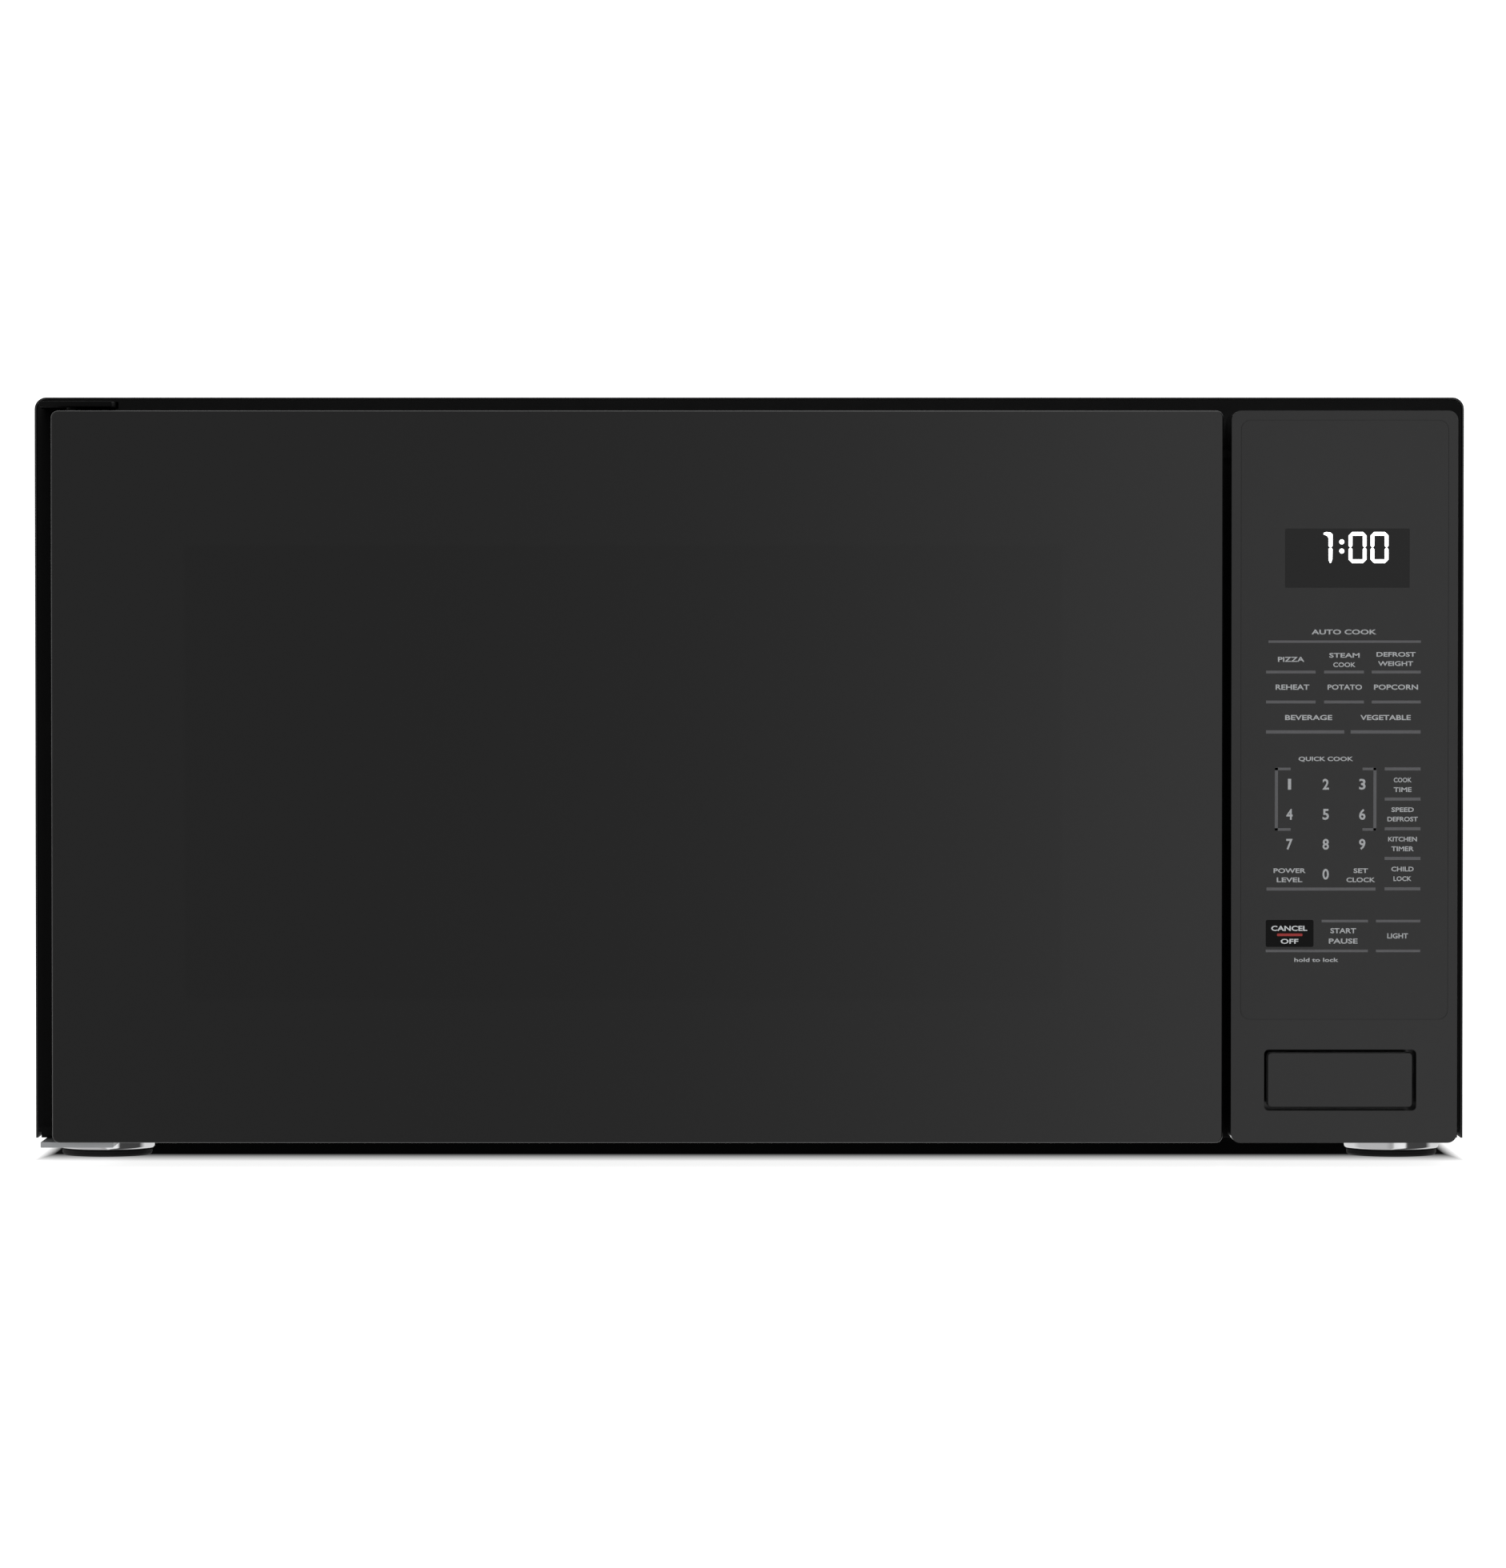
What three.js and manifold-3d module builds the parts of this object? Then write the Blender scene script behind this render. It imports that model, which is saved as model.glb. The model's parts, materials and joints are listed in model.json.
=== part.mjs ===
// Full-size kitchen microwave oven: steel cabinet, oven cavity with a turntable, side-hinged glass door
// with a hook latch, and a control tower with a push button that opens the door.
// Millimetres, +Z up. Origin: centre of the footprint, on the surface the oven stands on. The door faces -Y.
import * as THREE from "three";
import { mergeVertices } from "three/addons/utils/BufferGeometryUtils.js";
import Module from "manifold-3d";

const wasm = await Module();
wasm.setup();

// ---------- driving dimensions ----------
const overallWidth = 613;
const overallDepth = 495;
const overallHeight = 328;
const footHeight = 10;
const steel = 0.8; // painted sheet steel
const gap = 0.3; // assembly clearance between separate pieces
const runningGap = 0.3; // round a pin or shaft
const doorThickness = 36;
const doorGap = 2.5; // between the door's back and the front frame
const seam = 3.5; // between the door and the control panel
const controlWidth = 96;
const borderLeft = 10.5; // cabinet showing round the door and the control panel
const borderRight = 6;
const borderTop = 6.7;
const borderBottom = 0.5;
const glassThickness = 4;
const windowWidth = 373;
const windowHeight = 196;
const cavitySideMargin = 29; // from the door's edges to the cavity's walls
const cavityFloorHeight = 42;
const cavityRoofMargin = 32;
const cavityRearMargin = 25.5;
const cavityCorner = 14;
const frameCorner = 4; // of the front frame's hole, which shows the cavity's flange in its corners
const hookLift = 4;
const screwHead = 1.7;

// ---------- planes worked out from them ----------
const left = -overallWidth / 2;
const right = overallWidth / 2;
const front = -overallDepth / 2;
const back = overallDepth / 2;
const top = overallHeight;
const doorBack = front + doorThickness;
const frameFront = doorBack + doorGap;
const frameBack = frameFront + steel;
const coverBack = back - screwHead - gap;
const panelBack = coverBack - steel - gap; // rear panel's outer face
const panelFront = panelBack - steel;
const faceBottom = footHeight + borderBottom;
const faceTop = top - borderTop;
const doorLeft = left + borderLeft;
const towerRight = right - borderRight;
const towerLeft = towerRight - controlWidth;
const doorRight = towerLeft - seam;
const shellInset = steel + gap; // what fits just inside the outer cover
const cavityLeft = doorLeft + cavitySideMargin;
const cavityRight = doorRight - cavitySideMargin;
const cavityTop = top - cavityRoofMargin;
const cavityBack = back - cavityRearMargin;
const cavityFront = frameBack + gap;
const cavityMidX = (cavityLeft + cavityRight) / 2;
const cavityMidY = (cavityFront + cavityBack) / 2;
const cavityMidZ = (cavityFloorHeight + cavityTop) / 2;
const bayLeft = cavityRight + steel + gap; // the machine compartment beside the cavity
const bayRight = right - shellInset - steel - gap;
const bayFloor = footHeight + steel + gap;

// ---------- shape helpers ----------
const solidOf = (geometry) => {
  const bare = new THREE.BufferGeometry();
  const flat = geometry.index ? geometry.toNonIndexed() : geometry;
  bare.setAttribute("position", flat.getAttribute("position"));
  const merged = mergeVertices(bare, 1e-4);
  const corners = merged.index.array;
  const kept = [];
  for (let i = 0; i < corners.length; i += 3) {
    const [a, b, c] = corners.slice(i, i + 3);
    if (a !== b && b !== c && c !== a) kept.push(a, b, c);
  }
  const triVerts = new Uint32Array(kept);
  const vertProperties = merged.attributes.position.array;
  return new wasm.Manifold(new wasm.Mesh({ numProp: 3, vertProperties, triVerts }));
};
const join = (first, ...others) => others.reduce((sum, other) => sum.add(other), first);
const cut = (first, ...others) => others.reduce((rest, other) => rest.subtract(other), first);
const geometryOf = (solid) => {
  const { vertProperties, triVerts } = solid.getMesh();
  const geometry = new THREE.BufferGeometry();
  geometry.setAttribute("position", new THREE.BufferAttribute(vertProperties, 3));
  geometry.setIndex(new THREE.BufferAttribute(triVerts, 1));
  geometry.computeVertexNormals();
  return geometry;
};

const box = (x0, x1, y0, y1, z0, z1) => {
  const block = new THREE.BoxGeometry(x1 - x0, y1 - y0, z1 - z0);
  return solidOf(block.translate((x0 + x1) / 2, (y0 + y1) / 2, (z0 + z1) / 2));
};

// A shape drawn in the plane square to an axis, extruded along it. Its own axes are XY, XZ or YZ.
const yzToXy = new THREE.Matrix4().makeBasis(
  new THREE.Vector3(0, 1, 0),
  new THREE.Vector3(0, 0, 1),
  new THREE.Vector3(1, 0, 0),
);
const prism = (axis, shape, from, to, curveSegments = 3) => {
  const options = { depth: to - from, bevelEnabled: false, curveSegments };
  const geometry = new THREE.ExtrudeGeometry(shape, options);
  if (axis === "z") geometry.translate(0, 0, from);
  if (axis === "y") geometry.rotateX(Math.PI / 2).translate(0, to, 0);
  if (axis === "x") geometry.applyMatrix4(yzToXy).translate(from, 0, 0);
  return solidOf(geometry);
};

const rect = (a0, a1, b0, b1, r = 0) => {
  const path = new THREE.Shape();
  if (!r) {
    path.moveTo(a0, b0).lineTo(a1, b0).lineTo(a1, b1).lineTo(a0, b1).lineTo(a0, b0);
    return path;
  }
  path.moveTo(a0 + r, b0).lineTo(a1 - r, b0).absarc(a1 - r, b0 + r, r, -Math.PI / 2, 0);
  path.lineTo(a1, b1 - r).absarc(a1 - r, b1 - r, r, 0, Math.PI / 2);
  path.lineTo(a0 + r, b1).absarc(a0 + r, b1 - r, r, Math.PI / 2, Math.PI);
  path.lineTo(a0, b0 + r).absarc(a0 + r, b0 + r, r, Math.PI, 1.5 * Math.PI);
  return path;
};
const tube = (axis, outer, inner, from, to, curveSegments) =>
  cut(
    prism(axis, rect(...outer), from, to, curveSegments),
    prism(axis, rect(...inner), from - 1, to + 1, curveSegments),
  );
const polygon = (points) => new THREE.Shape(points.map(([a, b]) => new THREE.Vector2(a, b)));

// A round bar along an axis; at gives the other two coordinates, in X, Y, Z order.
const rod = (axis, at, r, from, to, sides = 20) => {
  const bar = new THREE.CylinderGeometry(r, r, to - from, sides);
  const middle = (from + to) / 2;
  if (axis === "x") bar.rotateZ(-Math.PI / 2).translate(middle, at[0], at[1]);
  if (axis === "y") bar.translate(at[0], middle, at[1]);
  if (axis === "z") bar.rotateX(Math.PI / 2).translate(at[0], at[1], middle);
  return solidOf(bar);
};

// A profile of [radius, height] points turned about the Z axis.
const turned = (profile, sides) => {
  const points = profile.map(([r, z]) => new THREE.Vector2(r, z));
  return solidOf(new THREE.LatheGeometry(points, sides).rotateX(Math.PI / 2));
};

// A grid of box cutters; each list gives the first corner, the size of one hole, the step and the count.
const grid = ([a0, size, step, count], [b0, sizeB, stepB, countB], hole) => {
  const holes = [];
  for (let i = 0; i < count; i += 1)
    for (let j = 0; j < countB; j += 1) {
      const a = a0 + i * step;
      const b = b0 + j * stepB;
      holes.push(hole(a, a + size, b, b + sizeB));
    }
  return holes;
};

// ---------- materials ----------
const finish = (color, roughness, metalness, extra = {}) =>
  new THREE.MeshStandardMaterial({ color, roughness, metalness, ...extra });
const blackPaint = finish(0x141414, 0.55, 0.2);
const blackGlass = finish(0x232323, 0.25, 0);
const blackPlastic = finish(0x323232, 0.5, 0);
const darkPlastic = finish(0x1c1c1c, 0.6, 0);
const zincSteel = finish(0xa9adb0, 0.4, 0.9);
const cavityEnamel = finish(0x9a9c9e, 0.45, 0.3);
const clearGlass = finish(0xdfe8ea, 0.05, 0, { transparent: true, opacity: 0.35 });
const chrome = finish(0xd8d8d8, 0.15, 1);
const rubber = finish(0x101010, 0.85, 0);
const whiteNylon = finish(0xe4e2da, 0.5, 0);
const aluminium = finish(0xc4c7c9, 0.35, 0.9);
const laminate = finish(0x1f5c3a, 0.6, 0);
const copper = finish(0xa9653a, 0.4, 0.8);
const smokedLens = finish(0x161616, 0.1, 0);
const mica = finish(0xb9ac93, 0.8, 0);
const springSteel = finish(0x8d9093, 0.35, 1);

const oven = new THREE.Group();
const group = (parent, x = 0, y = 0, z = 0) => {
  const made = new THREE.Group();
  made.position.set(x, y, z);
  parent.add(made);
  return made;
};
const cabinet = group(oven);
const piece = (parent, name, solid, material, x = 0, y = 0, z = 0) => {
  const mesh = new THREE.Mesh(geometryOf(solid), material);
  mesh.name = name;
  mesh.position.set(x, y, z);
  parent.add(mesh);
  return mesh;
};

// ---------- fan and magnetron places, which the vents follow ----------
const fanX = (bayLeft + bayRight) / 2;
const fanZ = cavityMidZ + 28;
const fanSide = (bayRight - bayLeft) / 2 - 2.6; // half the fan duct's width
const fanRadius = fanSide - 9;
const ventPitch = 14;
const ventSlot = 5;

// ---------- outer cover: one sheet folded over the top and both sides, with a flange at the back ----------
const coverCorner = 5;
const rearFlange = 14;
const arch = (wall) => {
  const r = coverCorner;
  const inner = Math.max(r - wall, 0.1);
  const shape = new THREE.Shape();
  shape.moveTo(left, footHeight).lineTo(left + wall, footHeight);
  shape.lineTo(left + wall, top - wall - inner);
  shape.absarc(left + wall + inner, top - wall - inner, inner, Math.PI, Math.PI / 2, true);
  shape.lineTo(right - wall - inner, top - wall);
  shape.absarc(right - wall - inner, top - wall - inner, inner, Math.PI / 2, 0, true);
  shape.lineTo(right - wall, footHeight).lineTo(right, footHeight).lineTo(right, top - r);
  shape.absarc(right - r, top - r, r, 0, Math.PI / 2).lineTo(left + r, top);
  shape.absarc(left + r, top - r, r, Math.PI / 2, Math.PI).lineTo(left, footHeight);
  return shape;
};
const sideScrewZ = fanZ - fanSide - 20;
const screwPlaces = [
  [0, top - rearFlange / 2],
  [left + rearFlange / 2, sideScrewZ],
  [right - rearFlange / 2, sideScrewZ],
];
const screwHole = 2.2;
const screwHoles = screwPlaces.map((at) => rod("y", at, screwHole, panelFront - 1, coverBack + 1, 10));
const coverShell = join(
  prism("y", arch(steel), frameFront, coverBack),
  prism("y", arch(rearFlange), coverBack - steel, coverBack),
);
const ventTop = fanZ + 40;
const sideVents = grid(
  [coverBack - 3 * fanRadius, ventSlot, ventPitch, 9],
  [ventTop - 60, 60, 0, 1],
  (y0, y1, z0, z1) => box(right - 3, right + 1, y0, y1, z0, z1),
);
const exhaustVents = grid(
  [coverBack - 2 * fanRadius, ventSlot, ventPitch, 6],
  [cavityTop - 60, 50, 0, 1],
  (y0, y1, z0, z1) => box(left - 1, left + 3, y0, y1, z0, z1),
);
const outerCover = cut(coverShell, ...sideVents, ...exhaustVents, ...screwHoles);
piece(cabinet, "outer_cover", outerCover, blackPaint);

// ---------- base plate: a shallow pan with upturned edges ----------
const panEdge = 13;
const panLeft = left + shellInset + steel + gap;
const panRight = -panLeft;
const panBack = panelFront - gap;
const footStud = 3;
const frontFootRadius = 20.5;
const rearFootRadius = 15;
const frontFootX = overallWidth / 2 - 27;
const frontFootY = frameFront + 43;
const rearFootY = panBack - 32;
const feet = [
  ["front_left", -frontFootX, frontFootY],
  ["front_right", frontFootX, frontFootY],
  ["rear_left", -frontFootX, rearFootY],
  ["rear_right", frontFootX, rearFootY],
];
const footHoles = feet.map(([, x, y]) => rod("z", [x, y], footStud + 0.4, 5, 20, 12));
const coreWidth = 85;
const coreDepth = 62;
const coreHeight = 72;
const coreX = bayLeft + 15 + coreWidth / 2;
const coreY = frameFront + 150;
const baseVents = grid(
  [coreX - 40, 4, 12, 7],
  [coreY - 25, 50, 0, 1],
  (x0, x1, y0, y1) => box(x0, x1, y0, y1, footHeight - 1, footHeight + 2),
);
const pan = cut(
  box(panLeft, panRight, cavityFront, panBack, footHeight, footHeight + panEdge),
  box(panLeft + steel, panRight - steel, cavityFront + steel, panBack - steel, footHeight + steel, top),
);
piece(cabinet, "base_plate", cut(pan, ...footHoles, ...baseVents), zincSteel);

// ---------- rear panel with the fan's intake, the exhaust and the hole for the mains lead's gland ----------
const glandX = right - 40;
const glandZ = 42;
const glandRadius = 8.7;
const intake = grid(
  [fanX - 42, 12, 18, 5],
  [fanZ - 38, 6, 14, 6],
  (x0, x1, z0, z1) => box(x0, x1, panelFront - 1, panelBack + 1, z0, z1),
);
const exhaust = grid(
  [cavityLeft + 20, 12, 18, 4],
  [cavityTop - 50, 6, 14, 3],
  (x0, x1, z0, z1) => box(x0, x1, panelFront - 1, panelBack + 1, z0, z1),
);
const panelEdge = rect(left + shellInset, right - shellInset, footHeight + gap, top - shellInset, 3.9);
const rearSheet = prism("y", panelEdge, panelFront, panelBack);
const glandHole = rod("y", [glandX, glandZ], glandRadius + 0.3, panelFront - 1, panelBack + 1, 20);
piece(cabinet, "rear_panel", cut(rearSheet, ...intake, ...exhaust, ...screwHoles, glandHole), blackPaint);

const gland = turned(
  [[4.5, 0], [11, 0], [11, 2.5], [glandRadius, 2.5], [glandRadius, 9], [4.5, 9], [4.5, 0]],
  20,
);
const glandMesh = piece(cabinet, "cord_gland", gland, rubber, glandX, back - 0.1, glandZ);
glandMesh.rotation.x = Math.PI / 2;

screwPlaces.forEach(([x, z], i) => {
  const head = rod("y", [0, 0], 4, -screwHead, 0, 12);
  const shank = rod("y", [0, 0], 1.8, -screwHead - 6, -screwHead / 2, 10);
  piece(cabinet, `cover_screw_${i + 1}`, join(head, shank), zincSteel, x, back, z);
});

// ---------- latch, button and hinge places, which the front frame is cut for ----------
const hookX = doorRight - 13; // the hooks' middle
const hookWide = 4;
const lowerHook = { bottom: 88, top: 96 };
const upperHook = { bottom: top - 90, top: top - 75 };
const hooks = [lowerHook, upperHook];
const hookTip = frameFront + 35;
const barb = 4;
const slotLeft = 1.5; // room beside a hook, which leans right as the door swings
const slotRight = 3;
const slotEnd = 2;
const hookSlot = (hook, y0, y1) =>
  box(
    hookX - hookWide / 2 - slotLeft,
    hookX + hookWide / 2 + slotRight,
    y0,
    y1,
    hook.bottom - barb - slotEnd,
    hook.top + hookLift + slotEnd,
  );
const buttonLeft = towerLeft + 15.3;
const buttonRight = towerRight - 18.5;
const buttonBottom = 25.4;
const buttonTop = buttonBottom + 23.6;
const buttonSlit = 1.2;
const stemX = buttonLeft + 4.5;
const stemZ = (buttonBottom + buttonTop) / 2;
const hingeX = doorLeft + 7.5;
const hingeY = doorBack - 11;
const hingePin = 3;
const hingePlate = 2.4;
const hingePlateLeft = hingeX - 14;
const hingePlateRight = hingeX + 17;

// ---------- front frame: the painted face round the cavity's mouth ----------
const frameFlange = 13;
const flangeReach = frameBack + frameFlange;
const frameLeft = left + shellInset;
const frameTop = top - shellInset;
const frameBottom = footHeight + steel + gap;
const mouthEdge = [cavityLeft, cavityRight, cavityFloorHeight, cavityTop];
const mouth = [...mouthEdge, cavityCorner];
const frameEdge = [frameLeft, -frameLeft, frameBottom, frameTop, coverCorner - 1];
const frameLap = 4; // that the frame's hole leaves showing of the cavity's flange, all round its mouth
const frameHole = [
  cavityLeft - frameLap, cavityRight + frameLap, cavityFloorHeight - frameLap, cavityTop + frameLap, frameCorner + frameLap,
];
const frameSheet = tube("y", frameEdge, frameHole, frameFront, frameBack);
const flangeBlock = cut(
  box(frameLeft, -frameLeft, frameBack - 0.4, flangeReach, cavityMidZ - 100, frameTop - 4),
  box(frameLeft + steel, -frameLeft - steel, frameBack - 1, flangeReach + 1, 0, frameTop),
);
const topFlange = box(
  frameLeft + coverCorner, -frameLeft - coverCorner, frameBack - 0.4, flangeReach, frameTop - steel, frameTop,
);
const sideFlanges = flangeBlock.decompose();
const throughFrame = (x0, x1, z0, z1) => box(x0, x1, frameFront - 1, frameBack + 0.2, z0, z1);
const notchTop = frameTop - steel;
const hingeNotch = throughFrame(
  hingePlateLeft - 1, hingePlateRight + 1, notchTop - hingePlate - 2 * gap, notchTop,
);
const wiringWindow = throughFrame(towerLeft + 10, towerRight - 8, stemZ + 73, cavityTop);
const stemWindow = throughFrame(stemX - 6, stemX + 6, stemZ - 8, stemZ + 8);
const frontFrame = cut(
  join(frameSheet, topFlange, ...sideFlanges),
  ...hooks.map((hook) => hookSlot(hook, frameFront - 1, frameBack + 0.2)),
  hingeNotch,
  wiringWindow,
  stemWindow,
);
piece(cabinet, "front_frame", frontFrame, blackPaint);

// ---------- oven cavity: a rounded box open to the front, with a flange behind the front frame ----------
const cavityFlange = 8;
const outerOf = (wall) => [
  cavityLeft - wall, cavityRight + wall, cavityFloorHeight - wall, cavityTop + wall, cavityCorner + wall,
];
const cavityShell = join(
  tube("y", outerOf(steel), mouth, cavityFront, cavityBack, 4),
  prism("y", rect(...outerOf(steel)), cavityBack - 0.01, cavityBack + steel, 4),
  tube("y", outerOf(cavityFlange), mouth, cavityFront, cavityFront + steel, 4),
);
const waveY = cavityMidY + 20;
const waveZ = cavityMidZ;
const waveWindow = box(cavityRight - 1, cavityRight + 2, waveY - 38, waveY + 38, waveZ - 28, waveZ + 22);
const lampY = cavityFront + 98;
const lampZ = cavityTop - 34;
const lampHoles = grid(
  [lampY - 12, 6, 9, 3],
  [lampZ - 12, 6, 9, 3],
  (y0, y1, z0, z1) => box(cavityRight - 1, cavityRight + 2, y0, y1, z0, z1),
);
const steamHoles = grid(
  [cavityLeft + 40, 6, 11, 5],
  [cavityTop - 46, 6, 11, 2],
  (x0, x1, z0, z1) => box(x0, x1, cavityBack - 1, cavityBack + 2, z0, z1),
);
const motorShaft = 3.2;
const shaftHole = rod("z", [cavityMidX, cavityMidY], 9, cavityFloorHeight - 2, cavityFloorHeight + 2);
const cavityHoles = [waveWindow, shaftHole, ...lampHoles, ...steamHoles];
piece(cabinet, "oven_cavity", cut(cavityShell, ...cavityHoles), cavityEnamel);

const micaFace = cavityRight - gap;
const micaSheet = box(micaFace - 0.6, micaFace, waveY - 48, waveY + 48, waveZ - 38, waveZ + 32);
piece(cabinet, "waveguide_cover", micaSheet, mica);

// ---------- waveguide and magnetron on the cavity's right wall ----------
const guideWall = 1;
const guideRight = bayLeft + 32;
const antennaZ = fanZ;
const guideTop = antennaZ + 22;
const guideDuct = cut(
  box(bayLeft, guideRight, waveY - 44, waveY + 44, waveZ - 34, guideTop),
  box(bayLeft - 1, guideRight - guideWall, waveY - 43, waveY + 43, waveZ - 33, guideTop - guideWall),
  rod("x", [waveY, antennaZ], 11, guideRight - 3, guideRight + 1),
);
piece(cabinet, "waveguide", guideDuct, zincSteel);

const yokeLeft = guideRight + gap;
const yokeRight = yokeLeft + 56;
const yokeHalf = 34;
const yokeDepth = 40;
const yoke = cut(
  box(yokeLeft, yokeRight, waveY - yokeDepth, waveY + yokeDepth, antennaZ - yokeHalf, antennaZ + yokeHalf),
  box(yokeLeft + 2, yokeRight - 2, waveY - 50, waveY + 50, antennaZ - yokeHalf + 2, antennaZ + yokeHalf - 2),
);
const fins = [];
for (let x = yokeLeft + 10; x < yokeRight - 8; x += 6)
  fins.push(box(x, x + 1, waveY - 32, waveY + 32, antennaZ - yokeHalf + 1, antennaZ + yokeHalf - 1));
const magnetron = join(
  yoke,
  rod("x", [waveY, antennaZ], 19, yokeLeft + 1, yokeRight - 1, 20),
  ...fins,
  rod("x", [waveY, antennaZ], 9, yokeLeft - 20, yokeLeft + 1, 16),
  box(yokeRight - 0.5, yokeRight + 22, waveY - 26, waveY + 26, antennaZ - 22, antennaZ + 22),
);
piece(cabinet, "magnetron", magnetron, aluminium);

const cutoutZ = antennaZ + yokeHalf + gap;
const cutout = join(
  rod("z", [yokeLeft + 28, waveY], 9, cutoutZ, cutoutZ + 5, 14),
  box(yokeLeft + 24, yokeLeft + 26, waveY - 3, waveY + 3, cutoutZ + 4, cutoutZ + 12),
  box(yokeLeft + 30, yokeLeft + 32, waveY - 3, waveY + 3, cutoutZ + 4, cutoutZ + 12),
);
piece(cabinet, "thermal_cutout", cutout, darkPlastic);

// ---------- high-voltage transformer and capacitor on the base ----------
const legHalf = 14;
const coilDeep = 14;
const coilHeight = 44;
const coreTop = bayFloor + coreHeight;
const coilBottom = bayFloor + (coreHeight - coilHeight) / 2;
const coreWindow = (x0) =>
  box(x0, x0 + coilDeep, coreY - coreDepth, coreY + coreDepth, coilBottom, coilBottom + coilHeight);
const coreFront = coreY - coreDepth / 2;
const coreBack = coreY + coreDepth / 2;
const core = cut(
  box(coreX - coreWidth / 2, coreX + coreWidth / 2, coreFront, coreBack, bayFloor, coreTop),
  coreWindow(coreX - legHalf - coilDeep),
  coreWindow(coreX + legHalf),
);
piece(cabinet, "transformer_core", core, zincSteel);
const coilReach = legHalf + coilDeep - gap;
const windings = tube(
  "z",
  [coreX - coilReach, coreX + coilReach, coreFront - coilDeep, coreBack + coilDeep, 8],
  [coreX - legHalf - gap, coreX + legHalf + gap, coreFront - gap, coreBack + gap],
  coilBottom + gap,
  coilBottom + coilHeight - gap,
);
piece(cabinet, "transformer_windings", windings, copper);

const canRight = bayRight - steel - 2;
const canShape = rect(canRight - 52, canRight, bayFloor, bayFloor + 34, 15);
const canFront = coreBack + 25;
const can = join(
  prism("y", canShape, canFront, canFront + 95, 4),
  box(canRight - 40, canRight - 34, canFront - 10, canFront + 1, bayFloor + 14, bayFloor + 20),
  box(canRight - 18, canRight - 12, canFront - 10, canFront + 1, bayFloor + 14, bayFloor + 20),
);
piece(cabinet, "high_voltage_capacitor", can, aluminium);

// ---------- cooling fan: duct on the rear panel, motor on a bar across it, and the blades ----------
const ductFront = panelFront - gap - 38;
const ductWall = 1.2;
const ductBack = panelFront - gap;
const fanDuct = cut(
  join(
    box(fanX - fanSide, fanX + fanSide, ductFront, ductBack, fanZ - fanSide, fanZ + fanSide),
    rod("y", [fanX, fanZ], fanRadius + 4, ductFront - 14, ductFront + 1, 32),
  ),
  box(
    fanX - fanSide + ductWall, fanX + fanSide - ductWall, ductFront + ductWall, ductBack + 1,
    fanZ - fanSide + ductWall, fanZ + fanSide - ductWall,
  ),
  rod("y", [fanX, fanZ], fanRadius + 2.5, ductFront - 15, ductFront + 3, 32),
);
piece(cabinet, "fan_duct", fanDuct, darkPlastic);

const barReach = fanSide - ductWall - gap;
const motorFront = ductFront + 10;
const fanMotor = join(
  box(fanX - barReach, fanX + barReach, motorFront - 2, motorFront, fanZ - 6, fanZ + 6),
  box(fanX - 24, fanX + 24, motorFront - 0.5, motorFront + 18, fanZ - 22, fanZ + 12),
  rod("y", [fanX, fanZ], 11, motorFront + 0.5, motorFront + 24, 16),
  rod("y", [fanX, fanZ], 2.5, ductFront - 12, motorFront, 12),
);
piece(cabinet, "fan_motor", fanMotor, zincSteel);

const bladeCount = 5;
const fanSolid = [cut(rod("y", [0, 0], 10, -8, 8, 20), rod("y", [0, 0], 2.5 + runningGap, -9, 9, 12))];
for (let i = 0; i < bladeCount; i += 1) {
  const blade = box(8, fanRadius - 1, -0.8, 0.8, -10.5, 10.5).rotate([35, 0, 0]);
  fanSolid.push(blade.rotate([0, (360 / bladeCount) * i, 0]));
}
const fan = group(oven, fanX, ductFront - 4, fanZ);
piece(fan, "fan_blades", join(...fanSolid), whiteNylon);

// ---------- mains filter board on posts from the rear panel ----------
const boardLeft = fanX - 60;
const boardBottom = bayFloor + 38;
const boardFront = ductBack - 8;
const filterPosts = grid(
  [boardLeft + 4, 5, 47, 2],
  [boardBottom + 4, 5, 25, 2],
  (x0, x1, z0, z1) => box(x0, x1, boardFront + 1, ductBack, z0, z1),
);
const filterBoard = join(
  box(boardLeft, boardLeft + 60, boardFront, boardFront + 1.6, boardBottom, boardBottom + 38),
  ...filterPosts,
  rod("y", [boardLeft + 18, boardBottom + 20], 11, boardFront - 14, boardFront + 0.5, 16),
  box(boardLeft + 34, boardLeft + 54, boardFront - 12, boardFront + 0.5, boardBottom + 6, boardBottom + 18),
  box(boardLeft + 34, boardLeft + 56, boardFront - 7, boardFront + 0.5, boardBottom + 24, boardBottom + 30),
);
piece(cabinet, "mains_filter_board", filterBoard, laminate);

// ---------- oven lamp in its holder, behind the perforated patch of the cavity's wall ----------
const lampHalf = 19;
const lampDepth = 30;
const lampHolder = cut(
  box(bayLeft, bayLeft + lampDepth, lampY - lampHalf, lampY + lampHalf, lampZ - lampHalf, lampZ + lampHalf),
  box(bayLeft - 1, bayLeft + lampDepth - 1.5, lampY - 17.5, lampY + 17.5, lampZ - 17.5, lampZ + 17.5),
);
piece(cabinet, "lamp_holder", lampHolder, whiteNylon);
const bulbProfile = [[0, 0], [6, 0], [6, 7], [8.5, 12], [8.5, 18], [5, 23], [0, 24]];
const bulb = turned(bulbProfile, 16);
const bulbMesh = piece(cabinet, "oven_lamp", bulb, clearGlass, bayLeft + lampDepth - 1.8, lampY, lampZ);
bulbMesh.rotation.y = -Math.PI / 2;

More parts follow.
